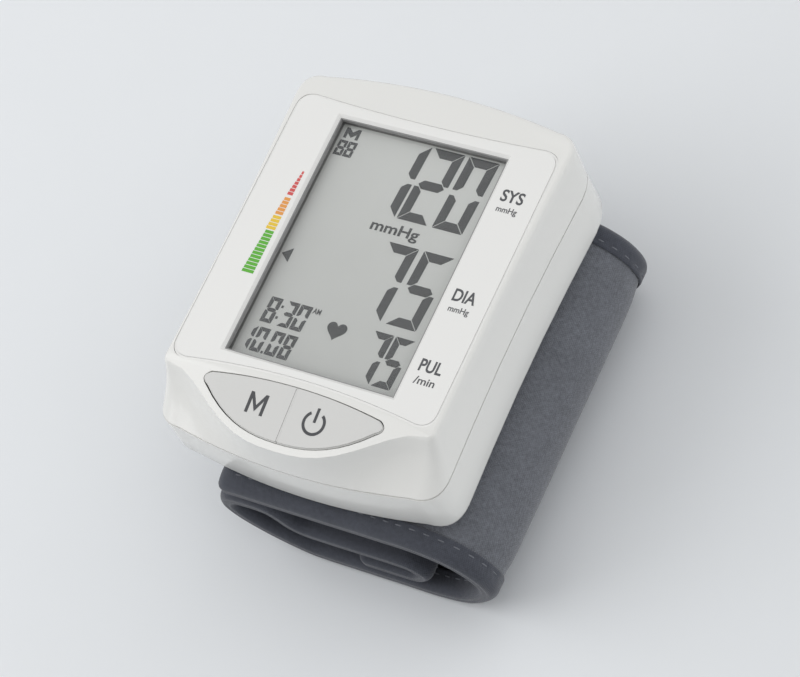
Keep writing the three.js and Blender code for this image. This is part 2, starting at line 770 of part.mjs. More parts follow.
function makeDisplayPlate() {
  const plate = prism(outline(plateOutline), pocketZ + fitGap, topZ);
  const lowZ = pocketZ - overrun;
  const window = prism(rectangle(screenWidth / 2, screenLength / 2), lowZ, topZ + overrun);
  const chamferRings = [
    [rectangle(screenWidth / 2, screenLength / 2), topZ - windowChamfer],
    [rectangle(screenWidth / 2 + windowChamfer, screenLength / 2 + windowChamfer), topZ],
  ].map(([corners, z]) => corners.map((p) => new THREE.Vector3(p.x, p.y, z)));
  return plate.subtract(window).subtract(loft(chamferRings));
}

function makeLcdHolder() {
  const outer = prism(rectangle(holderHalfX, holderHalfY), boardHighZ + seatGap, lcdHighZ);
  const seat = prism(rectangle(lcdHalfX + fitGap, lcdHalfY + fitGap), lcdLowZ - fitGap, topZ);
  const light = prism(rectangle(lcdHalfX - holderLedge - lcdBorder / 2, lcdHalfY - holderLedge - lcdBorder),
    boardLowZ, topZ);
  const slot = block(-stripHalf - fitGap, stripHalf + fitGap, stripLowY - fitGap,
    stripLowY + stripWidth + fitGap, boardLowZ, topZ);
  return outer.subtract(seat).subtract(light).subtract(slot);
}

// Buttons
const keySpots = [[-1, 'memory'], [1, 'power']];

function makeKey(side) {
  const reach = keyTipHalf + overrun;
  const half = side > 0
    ? block(keySplit / 2, reach, -farOut, farOut, keyLowZ, topZ + overrun)
    : block(-reach, -keySplit / 2, -farOut, farOut, keyLowZ, topZ + overrun);
  let solid = prism(keyOutline(fitGap), keyLowZ, topZ + keyProud).intersect(half);
  const tabLowX = Math.min(side * (keyEndHalf - keyTabReach), side * (keyTipHalf + keyTabReach / 2));
  const tabHighX = Math.max(side * (keyEndHalf - keyTabReach), side * (keyTipHalf + keyTabReach / 2));
  const tabHighY = keyHighY - keyHighFall - fitGap;
  solid = solid.add(block(tabLowX, tabHighX, tabHighY - keyTabWidth, tabHighY,
    ceilingZ - fitGap - keyTabThickness, ceilingZ - fitGap));
  return solid.subtract(aboveChin(-keyProud));
}

function makeSwitchBody(side) {
  const x = side * switchOffset;
  const half = switchSide / 2;
  const solid = block(x - half, x + half, switchY - half, switchY + half, switchLowZ,
    switchLowZ + switchHeight);
  return solid.subtract(upright(plungerRadius + fitGap, x, switchY, switchLowZ + switchHeight - switchWell,
    topZ, roundSides));
}

function makeSwitchPlunger(side) {
  const lowZ = switchLowZ + switchHeight - switchWell + keyTravel + fitGap;
  return upright(plungerRadius, side * switchOffset, switchY, lowZ, switchHighZ, roundSides);
}

// Main board with its screw, peg and boss clearances
function makeMainBoard() {
  const half = [
    [0, boardLow], [boardNeckLow, boardLow], [boardNeckLow + boardFlare, boardShoulderLow - boardSlopeLow],
    [boardHalf, boardShoulderLow], [boardHalf, boardShoulderHigh], [boardNeckHigh, boardHigh], [0, boardHigh],
  ].map(([x, y]) => new THREE.Vector2(x, y));
  let solid = prism(mirrored(half), boardLowZ, boardHighZ);
  for (const side of [-1, 1]) {
    solid = solid.subtract(upright(screwRadius + fitGap, side * boardScrewX, boardScrewY, baseZ, topZ));
    solid = solid.subtract(upright(boardPegRadius + fitGap, side * boardPegX, boardPegY, baseZ, topZ));
  }
  return solid;
}

// Cross-slotted screw standing on its head at zero
function makeScrew(length) {
  const profile = [
    [0, 0], [screwHeadRadius, 0], [screwHeadRadius, screwHeadHeight], [screwRadius, screwHeadHeight],
    [screwRadius, length - screwRadius], [0, length],
  ].map(([radius, height]) => new THREE.Vector2(radius, height));
  const turned = new THREE.LatheGeometry(profile, smallSides);
  turned.rotateX(Math.PI / 2);
  const long = screwHeadRadius - screwSlot;
  const cross = block(-long, long, -screwSlot / 2, screwSlot / 2, -overrun, screwHeadHeight / 2)
    .add(block(-screwSlot / 2, screwSlot / 2, -long, long, -overrun, screwHeadHeight / 2));
  return toSolid(turned).subtract(cross);
}

// Cells
function makeCell() {
  const shoulder = cellLength - cellNubHeight;
  const edge = cellEdge;
  const profile = [
    [0, 0], [cellRadius - edge, 0], [cellRadius, edge], [cellRadius, shoulder - edge],
    [cellRadius - edge, shoulder], [cellNubRadius, shoulder], [cellNubRadius, cellLength], [0, cellLength],
  ].map(([radius, y]) => new THREE.Vector2(radius, y));
  return toSolid(new THREE.LatheGeometry(profile, roundSides));
}

// Contact plate behind one cell or behind both, at the near or far end
function makeContact(fromX, toX, side) {
  const middleY = side * (contactFaceY + contactThickness / 2);
  const half = cellRadius - contactInset;
  return block(fromX - half, toX + half, middleY - contactThickness / 2, middleY + contactThickness / 2,
    cellZ - contactHeight / 2, cellZ + contactHeight / 2);
}

// Pump, valve, sensor, manifold and their hoses
const pumpZ = floorZ + fitGap + pumpHeight / 2;
const headFarY = motorNearY - fitGap;
const headNearY = headFarY - headLength;
const blindY = headNearY + headWall;

function makePumpMotor() {
  const can = alongY(pumpWidth / 2, pumpX, pumpZ, motorNearY, motorNearY + motorLength, roundSides);
  const flats = block(pumpX - pumpWidth, pumpX + pumpWidth, motorNearY, motorNearY + motorLength,
    pumpZ - pumpHeight / 2, pumpZ + pumpHeight / 2);
  const bearing = alongY(shaftRadius + fitGap, pumpX, pumpZ, motorNearY - overrun, motorNearY + shaftReach);
  return can.intersect(flats).subtract(bearing);
}

function makeMotorShaft() {
  return alongY(shaftRadius, pumpX, pumpZ, headFarY - shaftReach, motorNearY + shaftReach - fitGap);
}

function makePumpCrank() {
  const farY = headFarY - shaftReach + crankLength;
  const hub = alongY(crankRadius, pumpX, pumpZ, farY - crankLength, farY, roundSides);
  const pin = alongY(crankPinRadius, pumpX + crankPinOffset, pumpZ, farY - crankLength - crankPinLength,
    farY);
  return hub.subtract(alongY(shaftRadius + fitGap, pumpX, pumpZ, farY - farOut, farY + farOut)).add(pin);
}

function makePumpHead() {
  const body = block(pumpX - pumpWidth / 2, pumpX + pumpWidth / 2, headNearY, headFarY,
    pumpZ - pumpHeight / 2, pumpZ + pumpHeight / 2);
  const nipple = alongY(nippleRadius, pumpX, airZ, headNearY - nippleLength, headNearY + headWall / 2);
  const chamber = alongY(chamberRadius, pumpX, pumpZ, blindY, headFarY + overrun, roundSides);
  const bore = alongY(airBore, pumpX, airZ, headNearY - nippleLength - overrun, blindY + overrun);
  return body.add(nipple).subtract(chamber).subtract(bore);
}

function makeDiaphragm() {
  let solid = alongY(chamberRadius - fitGap, pumpX, pumpZ, blindY + seatGap,
    blindY + seatGap + diaphragmThickness, roundSides);
  for (let i = 0; i < cupCount; i += 1) {
    const angle = 2 * Math.PI * i / cupCount;
    const cupX = pumpX + cupOffset * Math.cos(angle);
    const cupZ = pumpZ + cupOffset * Math.sin(angle);
    solid = solid.add(alongY(cupRadius, cupX, cupZ, blindY + seatGap,
      blindY + seatGap + diaphragmThickness + cupHeight));
  }
  return solid;
}

const valveFarY = valveNearY + valveLength;
const valveZ = floorZ + fitGap + valveSide / 2;

function makeValveBody() {
  const body = block(portX - valveSide / 2, portX + valveSide / 2, valveNearY, valveFarY,
    valveZ - valveSide / 2, valveZ + valveSide / 2);
  const nipple = alongY(nippleRadius, portX, airZ, valveNearY - nippleLength, valveNearY + overrun);
  const middleY = valveFarY - valveLength / 2;
  const stemBore = alongY(valveStemRadius + fitGap, portX, valveZ, middleY, valveFarY + overrun);
  const bore = alongY(airBore, portX, airZ, valveNearY - nippleLength - overrun, middleY);
  return body.add(nipple).subtract(stemBore).subtract(bore);
}

function makeValvePlunger() {
  const innerY = valveFarY - valveLength / 2 + valveStroke + fitGap;
  const stem = alongY(valveStemRadius, portX, valveZ, innerY, valveFarY + valveStemReach);
  return stem.add(alongY(valveCapRadius, portX, valveZ, valveFarY + valveStemReach - valveCapThickness,
    valveFarY + valveStemReach));
}

const manifoldLowZ = airZ - manifoldHeight / 2;
const manifoldHighZ = airZ + manifoldHeight / 2;
const nozzleFlangeZ = floorZ + seatGap;

function makeManifold() {
  const half = manifoldSide / 2;
  let solid = block(portX - half, portX + half, portY - half, portY + half, manifoldLowZ, manifoldHighZ);
  solid = solid.add(alongX(nippleRadius, portY, airZ, portX, portX + half + nippleLength));
  solid = solid.add(alongY(nippleRadius, portX, airZ, portY, portY + half + nippleLength));
  solid = solid.add(upright(nippleRadius, portX, portY, airZ, manifoldHighZ + stubLength));
  solid = solid.subtract(upright(nozzleSpigotRadius + fitGap, portX, portY, manifoldLowZ - overrun,
    nozzleFlangeZ + nozzleFlangeThickness + nozzleSpigot + fitGap));
  solid = solid.subtract(upright(airBore, portX, portY, manifoldLowZ, manifoldHighZ + overrun));
  solid = solid.subtract(alongX(airBore, portY, airZ, portX, portX + half + nippleLength + overrun));
  return solid.subtract(alongY(airBore, portX, airZ, portY, portY + half + nippleLength + overrun));
}

function makeNozzle() {
  const lowZ = loopHeight - fabricThickness - bandThickness - 2 * layerGap - bladderThickness / 2;
  const flangeHighZ = nozzleFlangeZ + nozzleFlangeThickness;
  const body = upright(nozzleRadius, portX, portY, lowZ, flangeHighZ)
    .add(upright(nozzleFlangeRadius, portX, portY, nozzleFlangeZ, flangeHighZ, roundSides))
    .add(upright(nozzleSpigotRadius, portX, portY, nozzleFlangeZ, flangeHighZ + nozzleSpigot));
  return body.subtract(upright(airBore, portX, portY, lowZ - overrun, topZ));
}

const sensorLowZ = boardLowZ - seatGap - sensorHeight;

function makePressureSensor() {
  const half = sensorSide / 2;
  const body = block(portX - half, portX + half, portY - half, portY + half, sensorLowZ, boardLowZ - seatGap);
  const stub = upright(nippleRadius, portX, portY, sensorLowZ - stubLength, sensorLowZ + sensorHeight / 2);
  return body.add(stub).subtract(upright(airBore, portX, portY, sensorLowZ - farOut,
    sensorLowZ + sensorHeight / 2));
}

function makePumpTube() {
  const startY = headNearY - fitGap;
  const bendX = pumpX - pumpTubeBend;
  const bendY = portY + pumpTubeBend;
  const points = [new THREE.Vector3(pumpX, startY, airZ)];
  for (let i = 0; i <= cornerSteps; i += 1) {
    const angle = -Math.PI / 2 * i / cornerSteps;
    const x = bendX + pumpTubeBend * Math.cos(angle);
    points.push(new THREE.Vector3(x, bendY + pumpTubeBend * Math.sin(angle), airZ));
  }
  points.push(new THREE.Vector3(portX + manifoldSide / 2 + fitGap, portY, airZ));
  return hose(new THREE.CatmullRomCurve3(points), nippleRadius + fitGap, tubeWall, tubeSteps);
}

function straightHose(from, to) {
  return hose(new THREE.LineCurve3(from, to), nippleRadius + fitGap, tubeWall, 1);
}

// Strap middle lines, measured between the middles of the outer loop's walls
const innerLayerZ = loopHeight - strapThickness / 2 - strapThickness - tailArmGap;
const tailLowZ = strapThickness + tailArmGap + tailThickness / 2;

function loopX(share) {
  return loopLeft + strapThickness / 2 + share * (loopWidth - strapThickness);
}

const loopPath = new THREE.CatmullRomCurve3([
  ...loopPathShares.map(([x, z]) => new THREE.Vector3(
    loopX(x), 0, strapThickness / 2 + z * (loopHeight - strapThickness))),
  ...loopReturnShares.map(([x, z]) => new THREE.Vector3(loopX(x), 0, z * innerLayerZ)),
], false, 'centripetal');
const tailPath = new THREE.CatmullRomCurve3(tailPathShares.map(([x, z]) => new THREE.Vector3(
  loopX(x), 0, THREE.MathUtils.lerp(tailLowZ, innerLayerZ, z))), false, 'centripetal');

// One layer of a strap: the band between two offsets from its middle line, drawn across the cuff's width
function strapLayer(path, steps, [outer, inner], [from, to], [lowY, highY]) {
  const outside = [];
  const inside = [];
  for (let i = 0; i <= steps; i += 1) {
    const along = THREE.MathUtils.lerp(from, to, i / steps);
    const point = path.getPointAt(along);
    const tangent = path.getTangentAt(along);
    const normal = new THREE.Vector2(-tangent.z, tangent.x);
    const middle = new THREE.Vector2(point.x, point.z);
    outside.push(middle.clone().addScaledVector(normal, outer));
    inside.push(middle.clone().addScaledVector(normal, inner));
  }
  const solid = curtain([...outside, ...inside.reverse()], lowY, highY);
  return solid.subtract(block(-farOut, farOut, cuffNear - overrun, cuffFar + overrun, -farOut, 0));
}

const clothY = [cuffNear + bindingWidth + fitGap, cuffFar - bindingWidth - fitGap];
const strapHalf = strapThickness / 2;
const fabricBand = [strapHalf, strapHalf - fabricThickness];
const stiffBand = [fabricBand[1] - layerGap, fabricBand[1] - layerGap - bandThickness];
const bladderBand = [stiffBand[1] - layerGap, stiffBand[1] - layerGap - bladderThickness];
const liningBand = [-strapHalf + fabricThickness, -strapHalf];
const tailHalf = tailThickness / 2;
const tailFabricBand = [tailHalf, tailHalf - tailFabricThickness];
const tailLiningBand = [-tailHalf + tailLiningThickness, -tailHalf];
const hookBand = [-tailHalf - seatGap, -tailHalf - seatGap - hookThickness];

function portHole(solid) {
  return solid.subtract(upright(nozzleRadius + fitGap, portX, portY, loopHeight / 2 + strapThickness, topZ));
}

function makeOuterFabric() {
  let solid = portHole(strapLayer(loopPath, strapSteps, fabricBand, wholeShares, clothY));
  for (const [x, y] of pegSpots) {
    solid = solid.subtract(upright(pegRadius + fitGap, x, y, loopHeight - strapThickness, topZ));
  }
  return solid;
}

function makeStiffBand() {
  let solid = strapLayer(loopPath, strapSteps, stiffBand, bandShares, clothY);
  for (const [x, y] of pegSpots) {
    solid = solid.add(upright(pegRadius, x, y, loopHeight - fabricThickness - layerGap - bandThickness / 2,
      floorZ - seatGap));
  }
  return portHole(solid);
}

// Assembly
add(caseGroup, 'front_housing', makeFrontHousing(), caseWhite);
add(caseGroup, 'rear_housing', makeRearHousing(), caseWhite);
add(caseGroup, 'battery_door', makeBatteryDoor(), caseWhite);
add(caseGroup, 'display_plate', makeDisplayPlate(), plateWhite);
const lens = prism(rectangle(lensHalfX, lensHalfY), ceilingZ, ceilingZ + lensThickness);
add(caseGroup, 'display_lens', lens, clear);
for (const [side, label] of keySpots) {
  add(caseGroup, `${label}_button`, makeKey(side), keyGrey);
  add(boardGroup, `${label}_switch_body`, makeSwitchBody(side), darkPart);
  add(boardGroup, `${label}_switch_plunger`, makeSwitchPlunger(side), innerPlastic);
}
const caseScrew = makeScrew(caseScrewLength);
bossSpots.forEach(([x, y], i) => {
  add(caseGroup, `case_screw_${i + 1}`, caseScrew, steel).position.set(x, y, screwHeadZ);
});

add(boardGroup, 'lcd_glass', prism(rectangle(lcdHalfX, lcdHalfY), lcdLowZ, lcdHighZ), glassGrey);
add(boardGroup, 'lcd_holder', makeLcdHolder(), innerPlastic);
add(boardGroup, 'contact_strip', block(-stripHalf, stripHalf, stripLowY, stripLowY + stripWidth,
  stripHighZ - stripHeight, stripHighZ), darkPart);
add(boardGroup, 'main_board', makeMainBoard(), boardGreen);
const boardScrew = makeScrew(boardScrewLength);
[-1, 1].forEach((side, i) => {
  add(boardGroup, `board_screw_${i + 1}`, boardScrew, steel)
    .position.set(side * boardScrewX, boardScrewY, boardLowZ - seatGap - screwHeadHeight);
});
const underBoard = boardLowZ - seatGap;
add(boardGroup, 'main_chip', block(chipX - chipSide / 2, chipX + chipSide / 2, chipY - chipSide / 2,
  chipY + chipSide / 2, underBoard - chipHeight, underBoard), darkPart);
add(boardGroup, 'clock_crystal', block(crystalX - crystalWidth / 2, crystalX + crystalWidth / 2,
  crystalY - crystalLength / 2, crystalY + crystalLength / 2, underBoard - crystalHeight, underBoard), steel);
add(boardGroup, 'capacitor', upright(capacitorRadius, capacitorX, capacitorY, underBoard - capacitorHeight,
  underBoard), darkPart);
add(boardGroup, 'buzzer', upright(buzzerRadius, buzzerX, buzzerY, underBoard - buzzerHeight, underBoard,
  roundSides).subtract(upright(buzzerHole, buzzerX, buzzerY, underBoard - buzzerHeight - overrun,
  underBoard - buzzerHeight / 2)), darkPart);

const cell = makeCell();
const nubEndY = contactFaceY - seatGap;
add(powerGroup, 'battery_1', cell, cellFinish).position.set(firstCellX, nubEndY - cellLength, cellZ);
const turnedCell = add(powerGroup, 'battery_2', cell, cellFinish);
turnedCell.position.set(secondCellX, cellLength - nubEndY, cellZ);
turnedCell.rotation.z = Math.PI;
add(powerGroup, 'bridge_contact', makeContact(firstCellX, secondCellX, -1), brass);
add(powerGroup, 'positive_contact', makeContact(firstCellX, firstCellX, 1), brass);
add(powerGroup, 'negative_contact', makeContact(secondCellX, secondCellX, 1), brass);
const springEnd = springWire / 2 + seatGap;
add(powerGroup, 'battery_spring_1', spring(firstCellX, cellZ, -contactFaceY + springEnd,
  -contactFaceY + springLength - springEnd), steel);
add(powerGroup, 'battery_spring_2', spring(secondCellX, cellZ, contactFaceY - springEnd,
  contactFaceY - springLength + springEnd), steel);

add(airGroup, 'pump_motor', makePumpMotor(), steel);
add(airGroup, 'motor_shaft', makeMotorShaft(), steel);
add(airGroup, 'pump_crank', makePumpCrank(), innerPlastic);
add(airGroup, 'pump_head', makePumpHead(), darkPart);
add(airGroup, 'pump_diaphragm', makeDiaphragm(), rubber);
add(airGroup, 'valve_body', makeValveBody(), darkPart);
add(airGroup, 'valve_plunger', makeValvePlunger(), steel);
add(airGroup, 'air_manifold', makeManifold(), innerPlastic);
add(airGroup, 'cuff_nozzle', makeNozzle(), innerPlastic);
add(airGroup, 'pressure_sensor', makePressureSensor(), darkPart);
add(airGroup, 'pump_tube', makePumpTube(), rubber);
add(airGroup, 'valve_tube', straightHose(
  new THREE.Vector3(portX, portY + manifoldSide / 2 + fitGap, airZ),
  new THREE.Vector3(portX, valveNearY - fitGap, airZ)), rubber);
add(airGroup, 'sensor_tube', straightHose(new THREE.Vector3(portX, portY, manifoldHighZ + fitGap),
  new THREE.Vector3(portX, portY, sensorLowZ - fitGap)), rubber);

add(cuffGroup, 'cuff_outer_fabric', makeOuterFabric(), cuffGrey);
add(cuffGroup, 'stiffener_band', makeStiffBand(), innerPlastic);
add(cuffGroup, 'air_bladder', portHole(strapLayer(loopPath, strapSteps, bladderBand, bladderShares, clothY)),
  bladderBlack);
add(cuffGroup, 'foam_pad', strapLayer(loopPath, strapSteps, bladderBand, foamShares, clothY), rubber);
add(cuffGroup, 'cuff_lining', strapLayer(loopPath, strapSteps, liningBand, wholeShares, clothY), cuffDark);
add(cuffGroup, 'tail_fabric', strapLayer(tailPath, tailSteps, tailFabricBand, wholeShares, clothY), cuffGrey);
add(cuffGroup, 'tail_lining', strapLayer(tailPath, tailSteps, tailLiningBand, wholeShares, clothY), cuffDark);
add(cuffGroup, 'hook_patch', strapLayer(tailPath, tailSteps, hookBand, hookShares, clothY), cuffDark);
const nearHem = [cuffNear, cuffNear + bindingWidth];
const farHem = [cuffFar - bindingWidth, cuffFar];
for (const [label, hem] of [['near', nearHem], ['far', farHem]]) {
  const cuffEdge = strapLayer(loopPath, strapSteps, [strapHalf, -strapHalf], wholeShares, hem);
  const tailEdge = strapLayer(tailPath, tailSteps, [tailHalf, -tailHalf], wholeShares, hem);
  add(cuffGroup, `cuff_${label}_binding`, cuffEdge, bindingGrey);
  add(cuffGroup, `tail_${label}_binding`, tailEdge, bindingGrey);
}

// Origin: under the middle of the whole part, on the surface it rests on
const bounds = new THREE.Box3().setFromObject(part);
const middle = bounds.getCenter(new THREE.Vector3());
part.position.set(-middle.x, -middle.y, -bounds.min.z);

export default part;
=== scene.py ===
"""Visible finish of a wrist blood pressure monitor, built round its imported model.

Lengths are metres. Printed marks and the display's figures are placed in millimetres from the display's
middle. X runs across the display to its right, Y towards its upper end, and Z up from the surface that
the cuff lies on.
"""

import math

import bmesh
import bpy
import numpy as np
from bpy.props import FloatProperty, FloatVectorProperty, IntProperty, PointerProperty
from bpy.types import Operator, Panel, PropertyGroup
from mathutils import Matrix, Vector
from mathutils.bvhtree import BVHTree


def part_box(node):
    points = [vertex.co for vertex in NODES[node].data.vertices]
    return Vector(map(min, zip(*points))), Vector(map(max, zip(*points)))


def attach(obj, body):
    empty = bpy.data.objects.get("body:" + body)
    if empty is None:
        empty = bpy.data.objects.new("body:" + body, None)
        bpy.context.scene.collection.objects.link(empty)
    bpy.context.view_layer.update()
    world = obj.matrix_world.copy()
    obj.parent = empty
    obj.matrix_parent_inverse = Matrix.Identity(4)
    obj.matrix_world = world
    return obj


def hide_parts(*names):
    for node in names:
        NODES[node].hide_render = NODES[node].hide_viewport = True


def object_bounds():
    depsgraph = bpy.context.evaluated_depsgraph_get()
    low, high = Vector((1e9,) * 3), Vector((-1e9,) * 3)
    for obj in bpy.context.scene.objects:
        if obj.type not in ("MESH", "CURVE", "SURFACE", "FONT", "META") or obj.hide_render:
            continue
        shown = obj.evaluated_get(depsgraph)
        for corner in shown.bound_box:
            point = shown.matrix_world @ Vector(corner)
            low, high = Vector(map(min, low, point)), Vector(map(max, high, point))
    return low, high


bl_info = {
    "name": "Wrist Monitor Finish",
    "version": (1, 0, 0),
    "blender": (4, 5, 0),
    "location": "3D View > Sidebar > Monitor",
    "description": "Materials, printed marks, display figures and cuff cloth of a wrist monitor",
    "category": "Object",
}

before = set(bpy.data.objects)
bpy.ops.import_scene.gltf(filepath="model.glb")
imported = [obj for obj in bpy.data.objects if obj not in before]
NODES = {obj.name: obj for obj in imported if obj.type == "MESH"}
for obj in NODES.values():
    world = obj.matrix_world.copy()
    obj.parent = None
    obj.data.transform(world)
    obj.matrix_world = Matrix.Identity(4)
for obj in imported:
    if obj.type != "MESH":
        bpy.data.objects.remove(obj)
CAD_LOW, CAD_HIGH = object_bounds()
PHOTO_WIDTH = 800
PHOTO_HEIGHT = 677
MAIN_BODY = "monitor"
MM = 0.001

# Noise scales in turns per metre, from slow changes of tone to fine fuzz and the display's grain
TONE_SCALE = 45.0
MOTTLE_SCALE = 140.0
GLOSS_SCALE = 260.0
STAIN_SCALE = 380.0
WOBBLE_SCALE = 900.0
FLECK_SCALE = 1500.0
FUZZ_SCALE = 5200.0
GROUND_SCALE = 6000.0

# Cloth weave: the fuzz's and the yarns' shares of its height, the yarns' wobble, how much flecks and clouds
# change its tone, its brightness before them, and how much fuzz roughens it
FUZZ_SHARE = 0.55
YARN_WOBBLE = 5.0
FLECK_GAIN = 2.6
CLOUD_GAIN = 1.2
CLOTH_LIFT = 1.15
FUZZ_ROUGHNESS = 0.12
# Display: inset of the shown area in its window. Cell: the dark band's share of its length.
SHOWN_INSET = 0.2 * MM
POSITIVE_BAND = 0.3
# Mesh points nearer than these are one, when shading and when following a rim, whose face points up by
# more than FLAT_RISE
MERGE_DISTANCE = 0.004 * MM
WELD_DISTANCE = 0.002 * MM
FLAT_RISE = 0.3
# Rounds of fitting the monitor to the picture
FIT_ROUNDS = 4

# Moulded finishes: roughness and its spread, spread of tone, grain in turns per metre, bump in metres
MOULDED = {
    "floor paint": (0.75, 0.1, 0.02, 900, 0.00001),
    "case white": (0.24, 0.06, 0.035, 2600, 0.000012), "plate white": (0.32, 0.05, 0.02, 2200, 0.000008),
    # The window liner's grey is painted shade on the window's recess walls
    "key satin": (0.42, 0.08, 0.03, 5200, 0.00002), "window liner shade": (0.6, 0.08, 0.1, 4000, 0.00001),
    "display figures": (0.4, 0.05, 0.06, 5000, 0.000003), "grey ink": (0.5, 0.06, 0.05, 6000, 0.000003),
    "dark ink": (0.5, 0.06, 0.05, 6000, 0.000003), "scale ink": (0.45, 0.05, 0.06, 6000, 0.000003),
    "inner plastic": (0.5, 0.1, 0.05, 3000, 0.00003), "black moulding": (0.45, 0.15, 0.15, 4500, 0.00002),
    "soft hose": (0.55, 0.1, 0.05, 2500, 0.00002), "bladder film": (0.5, 0.1, 0.1, 2500, 0.00003),
    "foam": (0.9, 0.1, 0.35, 1800, 0.0003), "sewing thread": (0.6, 0.1, 0.2, 9000, 0.00002),
}
# Woven finishes: mottling, contrast of the yarns, bump in metres, and sheen
WOVEN = {
    "outer cloth": (0.3, 0.4, 0.00016, 0.35), "lining cloth": (0.35, 0.4, 0.00016, 0.15),
    "edge tape": (0.2, 0.45, 0.0001, 0.3), "hook pile": (0.3, 0.7, 0.0006, 0.1),
}
# Finishes inside the case: screen colour and nodes, for mouldings and for metals
INNER_MOULDINGS = {
    "inner plastic": ((216, 215, 208), (
        "lcd_holder", "memory_switch_plunger", "power_switch_plunger", "air_manifold", "cuff_nozzle",
        "pump_crank", "stiffener_band",
    )),
    "black moulding": ((34, 34, 36), (
        "main_chip", "capacitor", "buzzer", "pressure_sensor", "memory_switch_body",
        "power_switch_body", "contact_strip", "pump_head", "valve_body",
    )),
    "soft hose": ((206, 208, 208), ("pump_tube", "valve_tube", "sensor_tube", "pump_diaphragm")),
    "bladder film": ((48, 50, 55), ("air_bladder",)),
    "foam": ((92, 93, 96), ("foam_pad",)),
}
INNER_METALS = {
    "bright steel": ((196, 198, 201), 0.25, (
        "case_screw_1", "case_screw_2", "case_screw_3", "case_screw_4", "board_screw_1", "board_screw_2",
        "clock_crystal", "pump_motor", "motor_shaft", "valve_plunger", "battery_spring_1", "battery_spring_2",
    )),
    "contact plating": ((214, 200, 158), 0.3, ("bridge_contact", "positive_contact", "negative_contact")),
}

# Directions from the monitor to the two lamps, and the backdrop's colour
KEY_DIRECTION = (-0.76, -0.31, 0.66)
FILL_DIRECTION = (0.72, 0.52, 0.8)
BACKDROP = (0.86, 0.88, 0.9, 1)

# Bands round the upper face of the plate and of a key, in mm: near side, far side, depth and thickness
PLATE_SEAL = (0.03, 0.47, 0.16, 0.5)
KEY_LIP = (-0.03, 0.17, 0.3, 0.4)
# Rib between the keys, in mm: gap beside it, inset of its ends, how far inside the key's edge the key's
# height is taken, drop under that height, and half the rib's thickness. Then the number of its stations.
KEY_DIVIDER = (0.05, 0.1, 0.15, 0.12, 0.06)
DIVIDER_STATIONS = 15
# Window's liner, a grey sheet whose colour paints the shade on the recess walls: gap to the window's wall and
# to the lens, and drop under the plate's highest point
LINER_GAP = 0.02 * MM
LINER_DROP = 0.55 * MM


def linear(red, green, blue):
    """Screen colour from 0 to 255 as the linear colour that sockets and properties hold."""
    shares = [value / 255 for value in (red, green, blue)]
    return tuple(s / 12.92 if s <= 0.04045 else ((s + 0.055) / 1.055) ** 2.4 for s in shares)


def length_prop(name, description, default):
    return FloatProperty(name=name, description=description, default=default, unit="LENGTH", precision=5)


def share_prop(name, description, default):
    return FloatProperty(name=name, description=description, default=default, min=0, max=1, subtype="FACTOR")


def angle_prop(name, description, degrees):
    return FloatProperty(name=name, description=description, default=math.radians(degrees), unit="ROTATION")


def colour_prop(name, description, *screen):
    return FloatVectorProperty(
        name=name, description=description, default=linear(*screen), subtype="COLOR", min=0, max=1
    )


class MonitorStage(PropertyGroup):
    """Camera, floor and lamps."""

    azimuth: angle_prop("Azimuth", "Camera's turn from the near end towards the right", 55.1)
    elevation: angle_prop("Elevation", "Camera's height above the floor, as an angle", 55.9)
    roll: angle_prop("Roll", "Turn of the picture that leans the monitor over", 34.1)
    distance: length_prop("Distance", "From the camera to the monitor's middle", 0.6)
    frame_share: share_prop("Frame Share", "Share of the picture that the monitor takes", 0.84)
    floor_size: length_prop("Floor Size", "Side of the square floor", 8)
    floor_colour: colour_prop("Floor Colour", "Plain floor", 235, 238, 241)
    lamp_distance: length_prop("Lamp Distance", "From the lamps to the monitor", 0.8)
    key_size: length_prop("Key Size", "Side of the main soft lamp", 0.8)
    key_power: FloatProperty(name="Key Power", description="Main lamp", default=3.6, unit="POWER")
    fill_size: length_prop("Fill Size", "Side of the fill lamp", 1.7)
    fill_power: FloatProperty(name="Fill Power", description="Fill lamp", default=5.8, unit="POWER")
    sky_strength: FloatProperty(name="Sky Strength", description="Even light from all round", default=0.47)


class MonitorShell(PropertyGroup):
    """Case, plate and keys."""

    case_colour: colour_prop("Case", "Glossy moulded case", 236, 236, 233)
    plate_colour: colour_prop("Plate", "Plate round the display", 240, 240, 238)
    key_colour: colour_prop("Keys", "Satin keys", 216, 216, 214)
    print_colour: colour_prop("Print", "Printed words", 78, 79, 82)
    sign_colour: colour_prop("Signs", "Signs printed on the keys", 58, 59, 62)
    print_thickness: length_prop("Print Thickness", "Height of the ink", 0.00003)
    smooth_angle: angle_prop("Smooth Angle", "Edges sharper than this stay sharp", 32)


class MonitorDisplay(PropertyGroup):
    """Display glass and what it shows."""

    window_width: length_prop("Window Width", "Across the display window", 0.0352)
    window_length: length_prop("Window Length", "Along the display window", 0.0494)
    field_inset: length_prop("Field Inset", "From the window's edge to the display's lighter field", 0.0008)
    # The liner is a grey sheet whose colour paints the shade on the window's recess walls
    liner_thickness: length_prop("Liner", "Thin liner on the walls of the window", 0.00022)
    liner_shade_colour: colour_prop("Liner Colour", "Liner of the window", 152, 152, 152)
    glass_colour: colour_prop("Glass", "Display's ground", 190, 191, 188)
    border_colour: colour_prop("Border", "Border round the shown area", 126, 126, 125)
    figure_colour: colour_prop("Figures", "Dark figures", 32, 32, 31)
    figure_thickness: length_prop("Figure Thickness", "Height of the figures", 0.00005)


